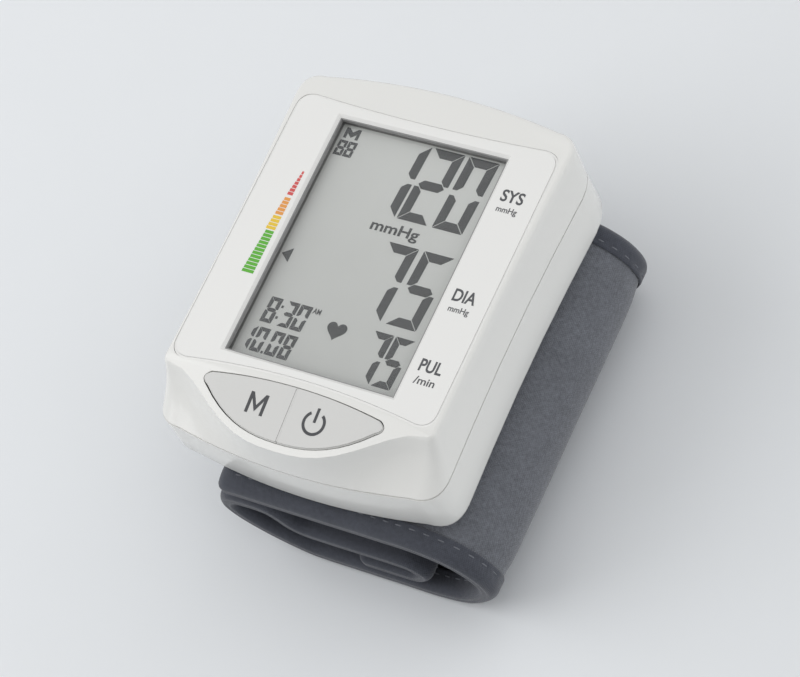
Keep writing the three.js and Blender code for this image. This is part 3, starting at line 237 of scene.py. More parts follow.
class MonitorCuff(PropertyGroup):
    """Strap, its cloth, edge tapes and thread."""

    side_reach: length_prop("Side Reach", "From the display's middle to the loop's left side", 0.0222)
    loop_width: length_prop("Loop Width", "Across the closed loop", 0.0574)
    loop_height: length_prop("Loop Height", "From the floor to the case", 0.0244)
    strap_thickness: length_prop("Strap Thickness", "Padded strap", 0.00398)
    tail_thickness: length_prop("Tail Thickness", "Folded tail", 0.00326)
    arm_gap: length_prop("Arm Gap", "Between layers that lie on each other", 0.00035)
    cloth_thickness: length_prop("Cloth Thickness", "One layer of cloth", 0.0004)
    cloth_colour: colour_prop("Outer Cloth", "Knitted outer cloth", 106, 109, 116)
    # Painted shade: the lining's colour is darkened for the shade in the loop's hollow, over its own dark
    # tone
    lining_and_shade_colour: colour_prop("Lining", "Lining cloth", 38, 40, 46)
    # Painted shade: the edge tape is darker than the outer cloth for the shade on its bands and on the inner
    # layers
    tape_and_shade_colour: colour_prop("Edge Tape", "Tape folded over both edges", 73, 76, 85)
    thread_colour: colour_prop("Thread", "Sewing thread", 112, 115, 123)
    pile_colour: colour_prop("Hook Pile", "Hook patch", 38, 40, 46)
    tape_width: length_prop("Tape Width", "Tape on each side of the edge", 0.0045)
    tape_thickness: length_prop("Tape Thickness", "Woven tape", 0.00036)
    shoulder: length_prop("Shoulder", "Cloth's rise beside the tape", 0.005)
    stitch_pitch: length_prop("Stitch Pitch", "From one stitch to the next", 0.0026)
    stitch_length: length_prop("Stitch Length", "Thread that shows", 0.0017)
    stitch_radius: length_prop("Stitch Radius", "Half the thread's thickness", 0.00014)
    corner: length_prop("Corner", "Round of the strap's corners, seen from above", 0.0025)
    end_round: length_prop("End Round", "Length over which a strap's end rounds off", 0.0032)
    yarn_pitch: length_prop("Yarn Pitch", "From one yarn to the next", 0.00052)
    pile_pitch: length_prop("Pile Pitch", "From one hook to the next", 0.0009)
    stations: IntProperty(name="Stations", description="Steps along the strap", default=430, min=40)


# Middle line of the strap, as shares of the room between the middles of the loop's walls. It starts under
# the case, goes round the loop and comes back above itself.
LOOP_SHARES = (
    (0.008, 0.985), (0.09, 1), (0.24, 1), (0.45, 1), (0.66, 1), (0.79, 0.99), (0.905, 0.897),
    (0.979, 0.696), (1, 0.451), (0.955, 0.245), (0.876, 0.074), (0.767, 0), (0.62, 0), (0.466, 0),
    (0.34, 0), (0.25, 0.02), (0.15, 0.143), (0.075, 0.286), (0.02, 0.451),
)
# Last turn of the loop, as shares of its width and of the inner layer's height
RETURN_SHARES = ((0, 0.811), (0.03, 0.964), (0.09, 1), (0.138, 1))
# Tail inside the loop, as shares of its width and of the room between the tail's arms
TAIL_SHARES = (
    (0.181, 0.95), (0.214, 0.78), (0.238, 0.61), (0.283, 0.49), (0.362, 0.464), (0.517, 0.464),
    (0.638, 0.464), (0.702, 0.425), (0.74, 0.232), (0.702, 0.039), (0.638, 0), (0.55, 0), (0.457, 0),
)
# Hook patch's ends as shares of the tail, and the bladder's sewn end as a share of the loop
HOOK_SHARES = (0.84, 0.98)
BLADDER_SHARE = 0.605

# Where the strap thins to the tail's thickness, as lengths before and past their joint
THINNING = (2 * MM, 5 * MM)

# Cloth: its sink under the edge tapes and along the sewn line, that line's half width, its unevenness,
# and how far it stands from the middle line at the strap's ends
TAPE_SINK = 0.42 * MM
SEAM_SINK = 0.35 * MM
SEAM_REACH = 0.9 * MM
UNEVENNESS = 0.05 * MM
END_HALF = 0.25 * MM
# Slow waves of the cloth: each side's phase, then turns along and across the strap, a phase of its own,
# and the share of the side's phase
OUTER_PHASE = 0.4
LINING_PHASE = 2.2
CLOTH_WAVES = ((185, 70, 0, 1), (310, -150, 0, 1.3), (95, 240, 2.1, 0))
# Places of the cloth's points near an edge, in mm from it, and the number between the two edges
CLOTH_EDGE = (0.7, 1.1, 1.6, 2.2, 3, 3.8, 4.3, 4.6, 4.9, 5.3, 5.8, 6.4, 7.1, 7.9, 8.8, 9.8, 11)
CLOTH_MIDDLE = 44
# Small folds of the inner side: bends per metre at which they start and are full, depth, turns along the
# strap, and drift across it as size and turns
FOLD_BENDS = (60, 190)
FOLD_DEPTH = 0.22 * MM
FOLD_TURNS = 2400
FOLD_DRIFT = ((1.4, 160), (0.8, 390))
# Edge tape: slack, its thread's row from the tape's inner side, pucker and pucker's reach, wander of its
# inner side, and inset of its hidden face
TAPE_SLACK = 0.03 * MM
STITCH_ROW = 1.1 * MM
PUCKER = 0.12 * MM
PUCKER_REACH = 0.7 * MM
TAPE_WANDER = 0.12 * MM
TAPE_INSET = 0.06 * MM
# Turns of that wander along the strap with their phases, the least share of the tape's thickness at an
# end, its steps on a flat side and round half the edge, and its crease's depth and width as shares
WANDER_WAVES = ((210, 0), (77, 1))
TAPE_END_SHARE = 0.3
TAPE_SIDE_STEPS = 9
TAPE_ROUND_STEPS = 10
TAPE_CREASE = (0.14, 0.22)
# Thread: rings of points along a stitch, and points in a ring
THREAD_RINGS = 5
THREAD_SIDES = 6
# Thread's sink in the tape and in the sewn line across the strap, and that line's and the patch's margin
THREAD_SINK = 0.11 * MM
SEAM_THREAD_SINK = 0.42 * MM
EDGE_MARGIN = 6 * MM
# Hook pile: height over the tail's face, depth and width of its rounded rim, its root in the tail, and
# its points across the strap
PILE_HEIGHT = 0.85 * MM
PILE_FALL = 0.6 * MM
PILE_RIM = 0.8 * MM
PILE_ROOT = 0.1 * MM
PILE_COLUMNS = 60

# Marks on the display, in mm from its middle. A row has its foot, top and stroke, then each figure with
# its left and right side. A bar has left, right, foot and top, and words have their weight as well.
DISPLAY_DRAWINGS = {
    "figures_upper": (("row", 8.95, 24.2, 1.8, ("1", -4.9, 0.7), ("2", 1.2, 7.6), ("0", 8.5, 14.7)),),
    "figures_lower": (("row", -11.1, 4.2, 1.8, ("7", 1.2, 7.5), ("5", 8.6, 14.8)),),
    "figures_pulse": (("row", -23.0, -12.9, 1.3, ("7", 6.9, 10.9), ("5", 11.3, 15.2)),),
    "figures_clock": (
        ("row", -17.1, -11.9, 0.76, ("8", -14.9, -12.5), ("3", -11.3, -8.9), ("0", -8.6, -6.2)),
        ("bar", -12.15, -11.7, -15.9, -15.4), ("bar", -12.0, -11.55, -13.6, -13.1),
        ("words", "AM", -5.7, -4.1, -13.0, -11.9, 0.01),
    ),
    "figures_date": (
        (
            "row", -23.0, -18.1, 0.74,
            ("1", -16.1, -14.6), ("0", -14.2, -12.0), ("0", -11.0, -8.8), ("8", -8.4, -6.2),
        ),
        ("bar", -11.7, -11.25, -23.0, -22.5),
    ),
    "sign_heart": (("heart", 0.3, -14.9, 2.0),),
    "sign_memory": (
        ("row", 18.1, 21.3, 0.55, ("8", -16.9, -15.1), ("8", -14.9, -13.1)),
        ("capital_m", -16.5, -13.4, 21.8, 24.0, 0.6),
    ),
    "sign_pointer": (("shape", [(-17.0, -3.35), (-15.1, -4.8), (-15.1, -1.9)]),),
    "words_unit": (("words", "mmHg", -2.9, 7.0, 4.95, 7.75, 0.02),),
}
# Words on the plate with their upper side, then each line's left and right side, its foot and top below
# that upper side, and its weight. Then the signs on the keys.
PLATE_WORDS = {
    "upper": (("SYS", "mmHg"), 18.7), "lower": (("DIA", "mmHg"), -2.0), "pulse": (("PUL", "/min"), -16.3),
}
PLATE_LINES = ((19.7, 24.2, 2.45, 0, 0.02), (19.9, 24.0, 4.9, 3.4, 0.012))
KEY_SIGNS = {
    "memory": (("capital_m", -8.3, -4.6, -34.9, -31.0, 0.62),),
    "power": (("ring", 5.6, -33.4, 1.75, 2.3, 125, 415), ("bar", 5.33, 5.87, -33.3, -30.6)),
}
# Coloured scale: right side, rise and height of a bar, then each colour with its first bar's foot, its
# number of bars, and the width of its first and last one
SCALE_RIGHT = -19.05
SCALE_RISE = 0.76
SCALE_BAR = 0.62
SCALE_COLOURS = {
    "green": ((92, 176, 52), -9.7, 12, 2.45, 1.75), "yellow": ((236, 200, 62), -0.45, 4, 1.95, 1.7),
    "orange": ((232, 158, 78), 2.75, 5, 1.6, 1.25), "red": ((212, 86, 84), 7.0, 7, 1.15, 0.4),
}


def settings(name):
    return getattr(bpy.context.scene, f"monitor_{name}")


def screen_middle():
    low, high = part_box("lcd_glass")
    return (low + high) / 2


# Nodes, and node groups that several materials share


FLOAT = "NodeSocketFloat"
COLOUR = "NodeSocketColor"


def add_node(tree, kind, inputs=(), **values):
    """A new node with its settings. Its inputs, by name or place, take sockets or plain values."""
    node = tree.nodes.new(kind)
    for name, value in values.items():
        setattr(node, name, value)
    for key, value in dict(inputs).items():
        if isinstance(value, bpy.types.NodeSocket):
            tree.links.new(value, node.inputs[key])
        else:
            node.inputs[key].default_value = value
    return node


def math_node(tree, operation, *values):
    return add_node(tree, "ShaderNodeMath", enumerate(values), operation=operation).outputs[0]


def scaled_colour(tree, colour, factor):
    return add_node(tree, "ShaderNodeVectorMath", {0: colour, "Scale": factor}, operation="SCALE").outputs[0]


def noise(tree, vector, scale, detail=2.0):
    inputs = {"Vector": vector, "Scale": scale, "Detail": detail}
    return add_node(tree, "ShaderNodeTexNoise", inputs).outputs["Fac"]


def object_place(tree):
    return tree.nodes.new("ShaderNodeTexCoord").outputs["Object"]


def split(tree, vector):
    """A vector's parts, as the outputs X, Y and Z of one node."""
    return add_node(tree, "ShaderNodeSeparateXYZ", {0: vector}).outputs


def chosen_colour(tree, share, first, second):
    """The first colour where share is 0, and the second where it is 1."""
    inputs = {"Factor": share, "A": (*first, 1), "B": (*second, 1)}
    return add_node(tree, "ShaderNodeMix", inputs, data_type="RGBA").outputs["Result"]


def raise_surface(tree, shader, height, depth):
    """Leads a height to a shader's normal. depth is the bump's height in metres."""
    bump = add_node(tree, "ShaderNodeBump", {"Distance": depth, "Height": height})
    tree.links.new(bump.outputs["Normal"], shader.inputs["Normal"])


def effect_group(name, inputs):
    """A new shader group that gives Color, Roughness and Height, and the outputs of its input node."""
    group = bpy.data.node_groups.new(name, "ShaderNodeTree")
    for label, value in inputs.items():
        kind = COLOUR if isinstance(value, tuple) else FLOAT
        group.interface.new_socket(label, in_out="INPUT", socket_type=kind).default_value = value
    for label, kind in (("Color", COLOUR), ("Roughness", FLOAT), ("Height", FLOAT)):
        group.interface.new_socket(label, in_out="OUTPUT", socket_type=kind)
    return group, add_node(group, "NodeGroupInput").outputs


def close_group(group, given, factor, roughness, height):
    """Leads a group's own colour, scaled, with its roughness and height to its outputs."""
    colour = scaled_colour(group, given["Colour"], factor)
    add_node(group, "NodeGroupOutput", {"Color": colour, "Roughness": roughness, "Height": height})
    return group


def moulded_group():
    """Moulded plastic: fine orange peel, slow changes of tone and gloss, and faint specks."""
    group, given = effect_group("Moulded Surface", {
        "Colour": (0.8, 0.8, 0.8, 1), "Tone Spread": 0.04, "Roughness": 0.3, "Roughness Spread": 0.1,
        "Grain Scale": 4000.0,
    })
    place = object_place(group)
    shade = math_node(group, "MULTIPLY", noise(group, place, TONE_SCALE, 3.0), given["Tone Spread"])
    gloss = math_node(group, "SUBTRACT", noise(group, place, GLOSS_SCALE, 4.0), 0.5)
    roughness = math_node(group, "MULTIPLY_ADD", gloss, given["Roughness Spread"], given["Roughness"])
    grain = noise(group, place, given["Grain Scale"])
    return close_group(group, given, math_node(group, "SUBTRACT", 1.0, shade), roughness, grain)


def weave_group():
    """Knitted or woven cloth on a surface whose UV map is in metres, with fuzz and slow mottling."""
    group, given = effect_group("Cloth Weave", {
        "Colour": (0.1, 0.1, 0.12, 1), "Pitch Along": 0.0005, "Pitch Across": 0.0005, "Mottle": 0.3,
        "Yarn Contrast": 0.4, "Roughness": 0.85,
    })
    place = object_place(group)
    run = split(group, add_node(group, "ShaderNodeUVMap").outputs["UV"])
    wobble = math_node(group, "MULTIPLY", noise(group, place, WOBBLE_SCALE), YARN_WOBBLE)
    waves = []
    for axis, pitch in (("X", "Pitch Along"), ("Y", "Pitch Across")):
        turns = math_node(group, "DIVIDE", run[axis], given[pitch])
        phase = math_node(group, "MULTIPLY_ADD", turns, 2 * math.pi, wobble)
        waves.append(math_node(group, "SINE", phase))
    crossed = math_node(group, "MULTIPLY_ADD", math_node(group, "MULTIPLY", *waves), 0.5, 0.5)
    fuzz = noise(group, place, FUZZ_SCALE, 3.0)
    yarns = math_node(group, "MULTIPLY", crossed, 1 - FUZZ_SHARE)
    height = math_node(group, "MULTIPLY_ADD", fuzz, FUZZ_SHARE, yarns)
    fleck = math_node(group, "SUBTRACT", noise(group, place, FLECK_SCALE), 0.5)
    cloud = math_node(group, "SUBTRACT", noise(group, place, MOTTLE_SCALE, 4.0), 0.5)
    clouds = math_node(group, "MULTIPLY", cloud, CLOUD_GAIN)
    both = math_node(group, "MULTIPLY_ADD", fleck, FLECK_GAIN, clouds)
    mottle = math_node(group, "MULTIPLY", both, given["Mottle"])
    dark = math_node(group, "MULTIPLY", math_node(group, "SUBTRACT", 1.0, height), given["Yarn Contrast"])
    factor = math_node(group, "SUBTRACT", math_node(group, "SUBTRACT", CLOTH_LIFT, mottle), dark)
    roughness = math_node(group, "MULTIPLY_ADD", fuzz, FUZZ_ROUGHNESS, given["Roughness"])
    return close_group(group, given, factor, roughness, height)


def drawn_metal_group():
    """Drawn or rolled metal: fine lines along one axis and faint stains."""
    group, given = effect_group("Drawn Metal", {
        "Colour": (0.6, 0.6, 0.62, 1), "Line Scale": 3000.0, "Roughness": 0.3, "Stain": 0.15,
    })
    place = object_place(group)
    stretch = add_node(group, "ShaderNodeVectorMath", {0: place, 1: (1, 0.04, 1)}, operation="MULTIPLY")
    lines = noise(group, stretch.outputs[0], given["Line Scale"])
    stain = math_node(group, "MULTIPLY", noise(group, place, STAIN_SCALE, 4.0), given["Stain"])
    roughness = math_node(group, "MULTIPLY_ADD", lines, 0.2, given["Roughness"])
    return close_group(group, given, math_node(group, "SUBTRACT", 1.0, stain), roughness, lines)


def shared_group(name):
    """The node group of that name, made when it is first asked for."""
    makers = {"Moulded Surface": moulded_group, "Cloth Weave": weave_group, "Drawn Metal": drawn_metal_group}
    return bpy.data.node_groups.get(name) or makers[name]()


# Materials


def bare_material(name, **values):
    """A material with only its output and a Principled shader, and that shader's plain values."""
    material = bpy.data.materials.new(name)
    material.use_nodes = True
    tree = material.node_tree
    tree.nodes.clear()
    shader = add_node(tree, "ShaderNodeBsdfPrincipled", values)
    add_node(tree, "ShaderNodeOutputMaterial", {"Surface": shader.outputs["BSDF"]})
    return material, tree, shader


def effect_material(name, group, inputs, depth, **values):
    """A material fed by one shared group. depth is the bump's height in metres."""
    found = bpy.data.materials.get(name)
    if found:
        return found
    material, tree, shader = bare_material(name, **values)
    effect = tree.nodes.new("ShaderNodeGroup")
    effect.node_tree = shared_group(group)
    for label, value in inputs.items():
        effect.inputs[label].default_value = (*value, 1) if label == "Colour" else value
    tree.links.new(effect.outputs["Color"], shader.inputs["Base Color"])
    tree.links.new(effect.outputs["Roughness"], shader.inputs["Roughness"])
    raise_surface(tree, shader, effect.outputs["Height"], depth)
    return material


def moulded(name, colour, finish=None, coat=0.0):
    """Moulded plastic, print or thread. Its finish is the one of its name unless another is given."""
    roughness, spread, tone, grain, depth = MOULDED[finish or name]
    inputs = {
        "Colour": colour, "Tone Spread": tone, "Roughness": roughness,
        "Roughness Spread": spread, "Grain Scale": grain,
    }
    return effect_material(name, "Moulded Surface", inputs, depth, **{"Coat Weight": coat})


def woven(name, colour, pitch, across=None):
    mottle, contrast, depth, sheen = WOVEN[name]
    inputs = {
        "Colour": colour, "Pitch Along": pitch, "Pitch Across": across or pitch,
        "Mottle": mottle, "Yarn Contrast": contrast,
    }
    values = {"Sheen Weight": sheen, "Sheen Roughness": 0.5, "Specular IOR Level": 0.25}
    return effect_material(name, "Cloth Weave", inputs, depth, **values)


def metal(name, colour, roughness):
    inputs = {"Colour": colour, "Roughness": roughness}
    return effect_material(name, "Drawn Metal", inputs, 0.00001, Metallic=1.0)


def clear_lens_material():
    """Clear lens. Light reaches what lies under it, because shadow rays and diffuse rays pass unbent."""
    material, tree, shader = bare_material(
        "clear lens", **{"Base Color": (0.97, 0.98, 0.98, 1), "Transmission Weight": 1.0, "IOR": 1.49}
    )
    haze = noise(tree, object_place(tree), 120.0, 3.0)
    tree.links.new(math_node(tree, "MULTIPLY_ADD", haze, 0.03, 0.015), shader.inputs["Roughness"])
    rays = add_node(tree, "ShaderNodeLightPath").outputs
    clear = add_node(tree, "ShaderNodeBsdfTransparent")
    passing = math_node(tree, "MAXIMUM", rays["Is Shadow Ray"], rays["Is Diffuse Ray"])
    inputs = {0: passing, 1: shader.outputs["BSDF"], 2: clear.outputs[0]}
    mix = add_node(tree, "ShaderNodeMixShader", inputs)
    output = next(n for n in tree.nodes if n.type == "OUTPUT_MATERIAL")
    tree.links.new(mix.outputs[0], output.inputs["Surface"])
    return material


def display_ground_material():
    """Grey display with a darker border and edge, and a slow change of tone."""
    display = settings("display")
    middle = screen_middle()
    material, tree, shader = bare_material(
        "display ground", **{"Roughness": 0.45, "Specular IOR Level": 0.2}
    )
    place = object_place(tree)
    parts = split(tree, place)
    inside, field = [], []
    tone = math_node(tree, "MULTIPLY_ADD", noise(tree, place, 70.0), 0.08, 1.0)
    for axis, centre, size, slope in (
        ("X", middle.x, display.window_width, 0.05), ("Y", middle.y, display.window_length, 0.18),
    ):
        run = math_node(tree, "SUBTRACT", parts[axis], centre)
        distance = math_node(tree, "ABSOLUTE", run)
        inside.append(math_node(tree, "LESS_THAN", distance, size / 2 - SHOWN_INSET))
        field.append(math_node(tree, "LESS_THAN", distance, size / 2 - display.field_inset))
        tone = math_node(tree, "MULTIPLY_ADD", run, slope / size, tone)
    shown = math_node(tree, "MULTIPLY", *inside)
    edge = math_node(tree, "MULTIPLY_ADD", math_node(tree, "MULTIPLY", *field), 0.1, 0.9)
    tone = math_node(tree, "MULTIPLY", tone, edge)
    colour = chosen_colour(tree, shown, display.border_colour, display.glass_colour)
    tree.links.new(scaled_colour(tree, colour, tone), shader.inputs["Base Color"])
    raise_surface(tree, shader, noise(tree, place, GROUND_SCALE, 1.0), 0.000004)
    return material


def uneven_gloss(tree, shader, place, scale):
    """Roughness from 0.3 to 0.45 in soft patches."""
    roughness = math_node(tree, "MULTIPLY_ADD", noise(tree, place, scale), 0.15, 0.3)
    tree.links.new(roughness, shader.inputs["Roughness"])


def cell_material():
    """Cell's printed sleeve: grey, with a dark band at the positive end."""
    low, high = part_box("battery_1")
    material, tree, shader = bare_material("cell sleeve", Metallic=0.5)
    place = object_place(tree)
    band = math_node(tree, "GREATER_THAN", split(tree, place)["Y"], high.y - (high.y - low.y) * POSITIVE_BAND)
    colour = chosen_colour(tree, band, linear(150, 154, 158), linear(44, 46, 50))
    wear = math_node(tree, "MULTIPLY_ADD", noise(tree, place, 420.0, 3.0), -0.12, 1.0)
    tree.links.new(scaled_colour(tree, colour, wear), shader.inputs["Base Color"])
    uneven_gloss(tree, shader, place, 900.0)
    return material


def board_material():
    """Green board with lighter tracks under its mask."""
    material, tree, shader = bare_material("board mask")
    place = object_place(tree)
    colours = {"Color1": (26, 84, 54), "Color2": (30, 92, 60), "Mortar": (70, 132, 84)}
    inputs = {name: (*linear(*screen), 1) for name, screen in colours.items()}
    inputs.update({"Vector": place, "Scale": 160.0, "Mortar Size": 0.03})
    tracks = add_node(tree, "ShaderNodeTexBrick", inputs)
    tree.links.new(tracks.outputs["Color"], shader.inputs["Base Color"])
    uneven_gloss(tree, shader, place, 500.0)
    raise_surface(tree, shader, tracks.outputs["Fac"], 0.00003)
    return material


# Pieces


def dress(material, *names):
    """Gives CAD nodes a material and keeps their meshes as they are."""
    for name in names:
        for place in NODES[name].material_slots:
            place.link = "OBJECT"
            place.material = material


def smooth_rounds():
    """A modifier group that joins split corners and shades rounded faces as one surface."""
    found = bpy.data.node_groups.get("Smooth Rounds")
    if found:
        return found
    group = bpy.data.node_groups.new("Smooth Rounds", "GeometryNodeTree")
    group.interface.new_socket("Geometry", in_out="INPUT", socket_type="NodeSocketGeometry")
    group.interface.new_socket("Geometry", in_out="OUTPUT", socket_type="NodeSocketGeometry")
    chain = add_node(group, "NodeGroupInput")
    bend = add_node(group, "GeometryNodeInputMeshEdgeAngle").outputs["Unsigned Angle"]
    sharp = math_node(group, "GREATER_THAN", bend, settings("shell").smooth_angle)
    for kind, inputs, values in (
        ("GeometryNodeRemoveAttribute", {"Name": "custom_normal"}, {}),
        ("GeometryNodeMergeByDistance", {"Distance": MERGE_DISTANCE}, {}),
        ("GeometryNodeSetShadeSmooth", {}, {"domain": "FACE"}),
        ("GeometryNodeSetShadeSmooth", {"Selection": sharp, "Shade Smooth": False}, {"domain": "EDGE"}),
        ("NodeGroupOutput", {}, {}),
    ):
        chain = add_node(group, kind, {"Geometry": chain.outputs["Geometry"], **inputs}, **values)
    return group


def smooth_nodes(*names):
    for name in names:
        modifier = NODES[name].modifiers.new("Smooth Rounds", "NODES")
        modifier.node_group = smooth_rounds()


def mesh_piece(name, points, faces, material, body=MAIN_BODY, smooth=True, uvs=None):
    """A new piece from points and faces, with its faces turned outward, riding on a body."""
    mesh = bpy.data.meshes.new(name)
    mesh.from_pydata([tuple(p) for p in points], [], [tuple(f) for f in faces])
    if uvs is not None:
        layer = mesh.uv_layers.new(name="UVMap")
        corners = np.zeros(len(mesh.loops), dtype=np.int32)
        mesh.loops.foreach_get("vertex_index", corners)
        layer.data.foreach_set("uv", np.asarray(uvs, dtype=np.float32)[corners].ravel())
    shape = bmesh.new()
    shape.from_mesh(mesh)
    bmesh.ops.recalc_face_normals(shape, faces=shape.faces)
    shape.to_mesh(mesh)
    shape.free()
    mesh.polygons.foreach_set("use_smooth", [smooth] * len(mesh.polygons))
    mesh.materials.append(material)
    piece = bpy.data.objects.new(name, mesh)
    bpy.context.scene.collection.objects.link(piece)
    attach(piece, body)
    return piece


def surface_height(node):
    """A function that gives the height of a CAD node's upper surface at a place, measured from above."""
    mesh = NODES[node].data
    tree = BVHTree.FromPolygons([v.co for v in mesh.vertices], [p.vertices for p in mesh.polygons])
    top = CAD_HIGH.z + 10 * MM

    def height(x, y):
        hit = tree.ray_cast(Vector((x, y, top)), Vector((0, 0, -1)))[0]
        if hit is None:
            raise RuntimeError(f"nothing of {node} lies under {x:.4f}, {y:.4f}")
        return hit.z

    return height


def ring_faces(rings, count):
    """Faces between closed rings of count points each, where the last ring leads back to the first."""
    faces = []
    for ring in range(rings):
        here, there = ring * count, (ring + 1) % rings * count
        for i in range(count):
            following = (i + 1) % count
            faces.append((here + i, there + i, there + following, here + following))
    return faces


def rim_loop(node):
    """Points in order round a CAD node's upper face, with the direction away from it at each."""
    shape = bmesh.new()
    shape.from_mesh(NODES[node].data)
    bmesh.ops.remove_doubles(shape, verts=shape.verts, dist=WELD_DISTANCE)
    shape.normal_update()
    following = {}
    for edge in shape.edges:
        flat = [face.normal.z > FLAT_RISE for face in edge.link_faces]
        if len(flat) == 2 and flat[0] != flat[1]:
            first, last = edge.verts
            following.setdefault(first, []).append(last)
            following.setdefault(last, []).append(first)
    loops = []
    while following:
        loop = [next(iter(following))]
        while loop[-1] in following:
            choices = [v for v in following.pop(loop[-1]) if v in following]
            loop.extend(choices[:1])
        loops.append(np.array([v.co[:] for v in loop]))
    shape.free()
    points = max(loops, key=lambda loop: np.ptp(loop[:, 0]) + np.ptp(loop[:, 1]))
    x, y = points[:, 0], points[:, 1]
    if np.sum(x * np.roll(y, -1) - y * np.roll(x, -1)) < 0:
        points = points[::-1]
    runs = np.roll(points, -1, 0) - points
    side = np.stack([runs[:, 1], -runs[:, 0]], axis=1) / np.linalg.norm(runs[:, :2], axis=1)[:, None]
    away = side + np.roll(side, 1, 0)
    away /= np.maximum((away * side).sum(1), 0.5)[:, None]
    return points, away


def rim_piece(name, node, band, material, body):
    """A thin closed band round a node's upper face, a little below it. See PLATE_SEAL for a band."""
    near, far, depth, thickness = (value * MM for value in band)
    points, away = rim_loop(node)
    rings = []
    for reach, drop in ((near, depth), (far, depth), (far, depth + thickness), (near, depth + thickness)):
        rings.append(np.column_stack([points[:, :2] + away * reach, points[:, 2] - drop]))
    faces = ring_faces(len(rings), len(points))
    return mesh_piece(name, np.concatenate(rings), faces, material, body, smooth=False)


class Marks:
    """Flat shapes gathered into one piece, placed in millimetres from the display's middle."""

    LEAN = 0.05
    LIT = {"0": "abcdef", "1": "bc", "2": "abged", "3": "abgcd", "5": "afgcd", "7": "abc", "8": "abcdefg"}

    def __init__(self, drawing=()):
        self.points = []
        self.faces = []
        for step, *values in drawing:
            getattr(self, step)(*values)

    def shape(self, points, faces=None):
        start = len(self.points)
        self.points.extend((x * MM, y * MM) for x, y in points)
        for face in faces or [range(len(points))]:
            self.faces.append([start + i for i in face])

    def bar(self, x0, x1, y0, y1):
        self.shape([(x0, y0), (x1, y0), (x1, y1), (x0, y1)])

    def ring(self, x, y, inner, outer, start, end, steps=40):
        """Part of a ring between two angles in degrees."""
        angles = [math.radians(start + (end - start) * i / steps) for i in range(steps + 1)]
        points = [(x + r * math.cos(a), y + r * math.sin(a)) for a in angles for r in (inner, outer)]
        self.shape(points, [(2 * i, 2 * i + 1, 2 * i + 3, 2 * i + 2) for i in range(steps)])

    def words(self, text, x0, x1, y0, y1, weight=0.0):
        """Lettering stretched to fill a rectangle."""
        curve = bpy.data.curves.new("words", "FONT")
        curve.body = text
        curve.offset = weight
        curve.resolution_u = 4
        holder = bpy.data.objects.new("words", curve)
        bpy.context.scene.collection.objects.link(holder)
        bpy.context.view_layer.update()
        shown = holder.evaluated_get(bpy.context.evaluated_depsgraph_get())
        mesh = bpy.data.meshes.new_from_object(shown)
        co = np.array([v.co[:2] for v in mesh.vertices])
        low, high = co.min(0), co.max(0)
        places = (co - low) / (high - low) * np.array([x1 - x0, y1 - y0]) + np.array([x0, y0])
        self.shape([tuple(p) for p in places], [list(p.vertices) for p in mesh.polygons])
        bpy.data.objects.remove(holder)
        bpy.data.curves.remove(curve)
        bpy.data.meshes.remove(mesh)

    def capital_m(self, x0, x1, y0, y1, weight):
        """A capital M of even strokes."""
        middle, foot, slope = (x0 + x1) / 2, y0 + (y1 - y0) * 0.12, weight * 1.9
        self.bar(x0, x0 + weight, y0, y1)
        self.bar(x1 - weight, x1, y0, y1)
        self.shape([(x0 + weight, y1), (x0 + weight, y1 - slope), (middle, foot), (middle, foot + slope)])
        self.shape([(x1 - weight, y1 - slope), (x1 - weight, y1), (middle, foot + slope), (middle, foot)])

    def heart(self, x, y, size):
        """A heart, from its usual closed curve."""
        points = []
        for step in reversed(range(40)):
            t = 2 * math.pi * step / 40
            rise = 13 * math.cos(t) - 5 * math.cos(2 * t) - 2 * math.cos(3 * t) - math.cos(4 * t)
            points.append((x + size * math.sin(t) ** 3, y + rise * size / 16))
        self.shape(points)

    def row(self, foot, top, weight, *figures):
        """Figures of one height. Each has its digit and its left and right side at the foot."""
        for digit, left, right in figures:
            self.figure(digit, left, right, foot, top, weight)

    def figure(self, digit, x0, x1, y0, y1, weight):
        """One leaning seven-segment figure in a rectangle. weight is the segments' thickness."""
        gap, middle, half = weight * 0.06, (y0 + y1) / 2, weight / 2
        near = half * 0.5 + gap
        for key in self.LIT[digit]:
            if key in "ad":
                end, turn = (y1, -1) if key == "a" else (y0, 1)
                inner = end + turn * weight
                points = [
                    (x0 + gap, end), (x1 - gap, end), (x1 - weight - gap, inner), (x0 + weight + gap, inner),
                ][::-turn]
            elif key == "g":
                left, right = x0 + near, x1 - near
                points = [
                    (left, middle), (left + half, middle - half), (right - half, middle - half),
                    (right, middle), (right - half, middle + half), (left + half, middle + half),
                ]
            else:
                side, turn = (x0, 1) if key in "ef" else (x1, -1)
                end, run = (y1, -1) if key in "bf" else (y0, 1)
                inner, foot = side + turn * weight, middle - run * near
                points = [
                    (side, end + run * gap), (side, foot), (side + turn * half, foot),
                    (inner, middle - run * (near + half)), (inner, end + run * (weight + gap)),
                ][::turn * run]
            self.shape([(x + (y - y0) * self.LEAN, y) for x, y in points])

    def piece(self, name, height, thickness, material, body=MAIN_BODY, slot=None):
        """The shapes as one raised piece whose points follow the surface under them."""
        middle = screen_middle()
        places = [(middle.x + x, middle.y + y) for x, y in self.points]
        base = [height(x, y) for x, y in places]
        count = len(places)
        points = [(x, y, z + thickness) for (x, y), z in zip(places, base)]
        points += [(x, y, z - thickness) for (x, y), z in zip(places, base)]
        edges = {}
        for face in self.faces:
            for a, b in zip(face, face[1:] + face[:1]):
                edges[frozenset((a, b))] = None if frozenset((a, b)) in edges else (a, b)
        faces = list(self.faces) + [[count + i for i in reversed(face)] for face in self.faces]
        faces += [(b, a, a + count, b + count) for a, b in filter(None, edges.values())]
        return mesh_piece(name, points, faces, material, body, smooth=False)


# Strap geometry


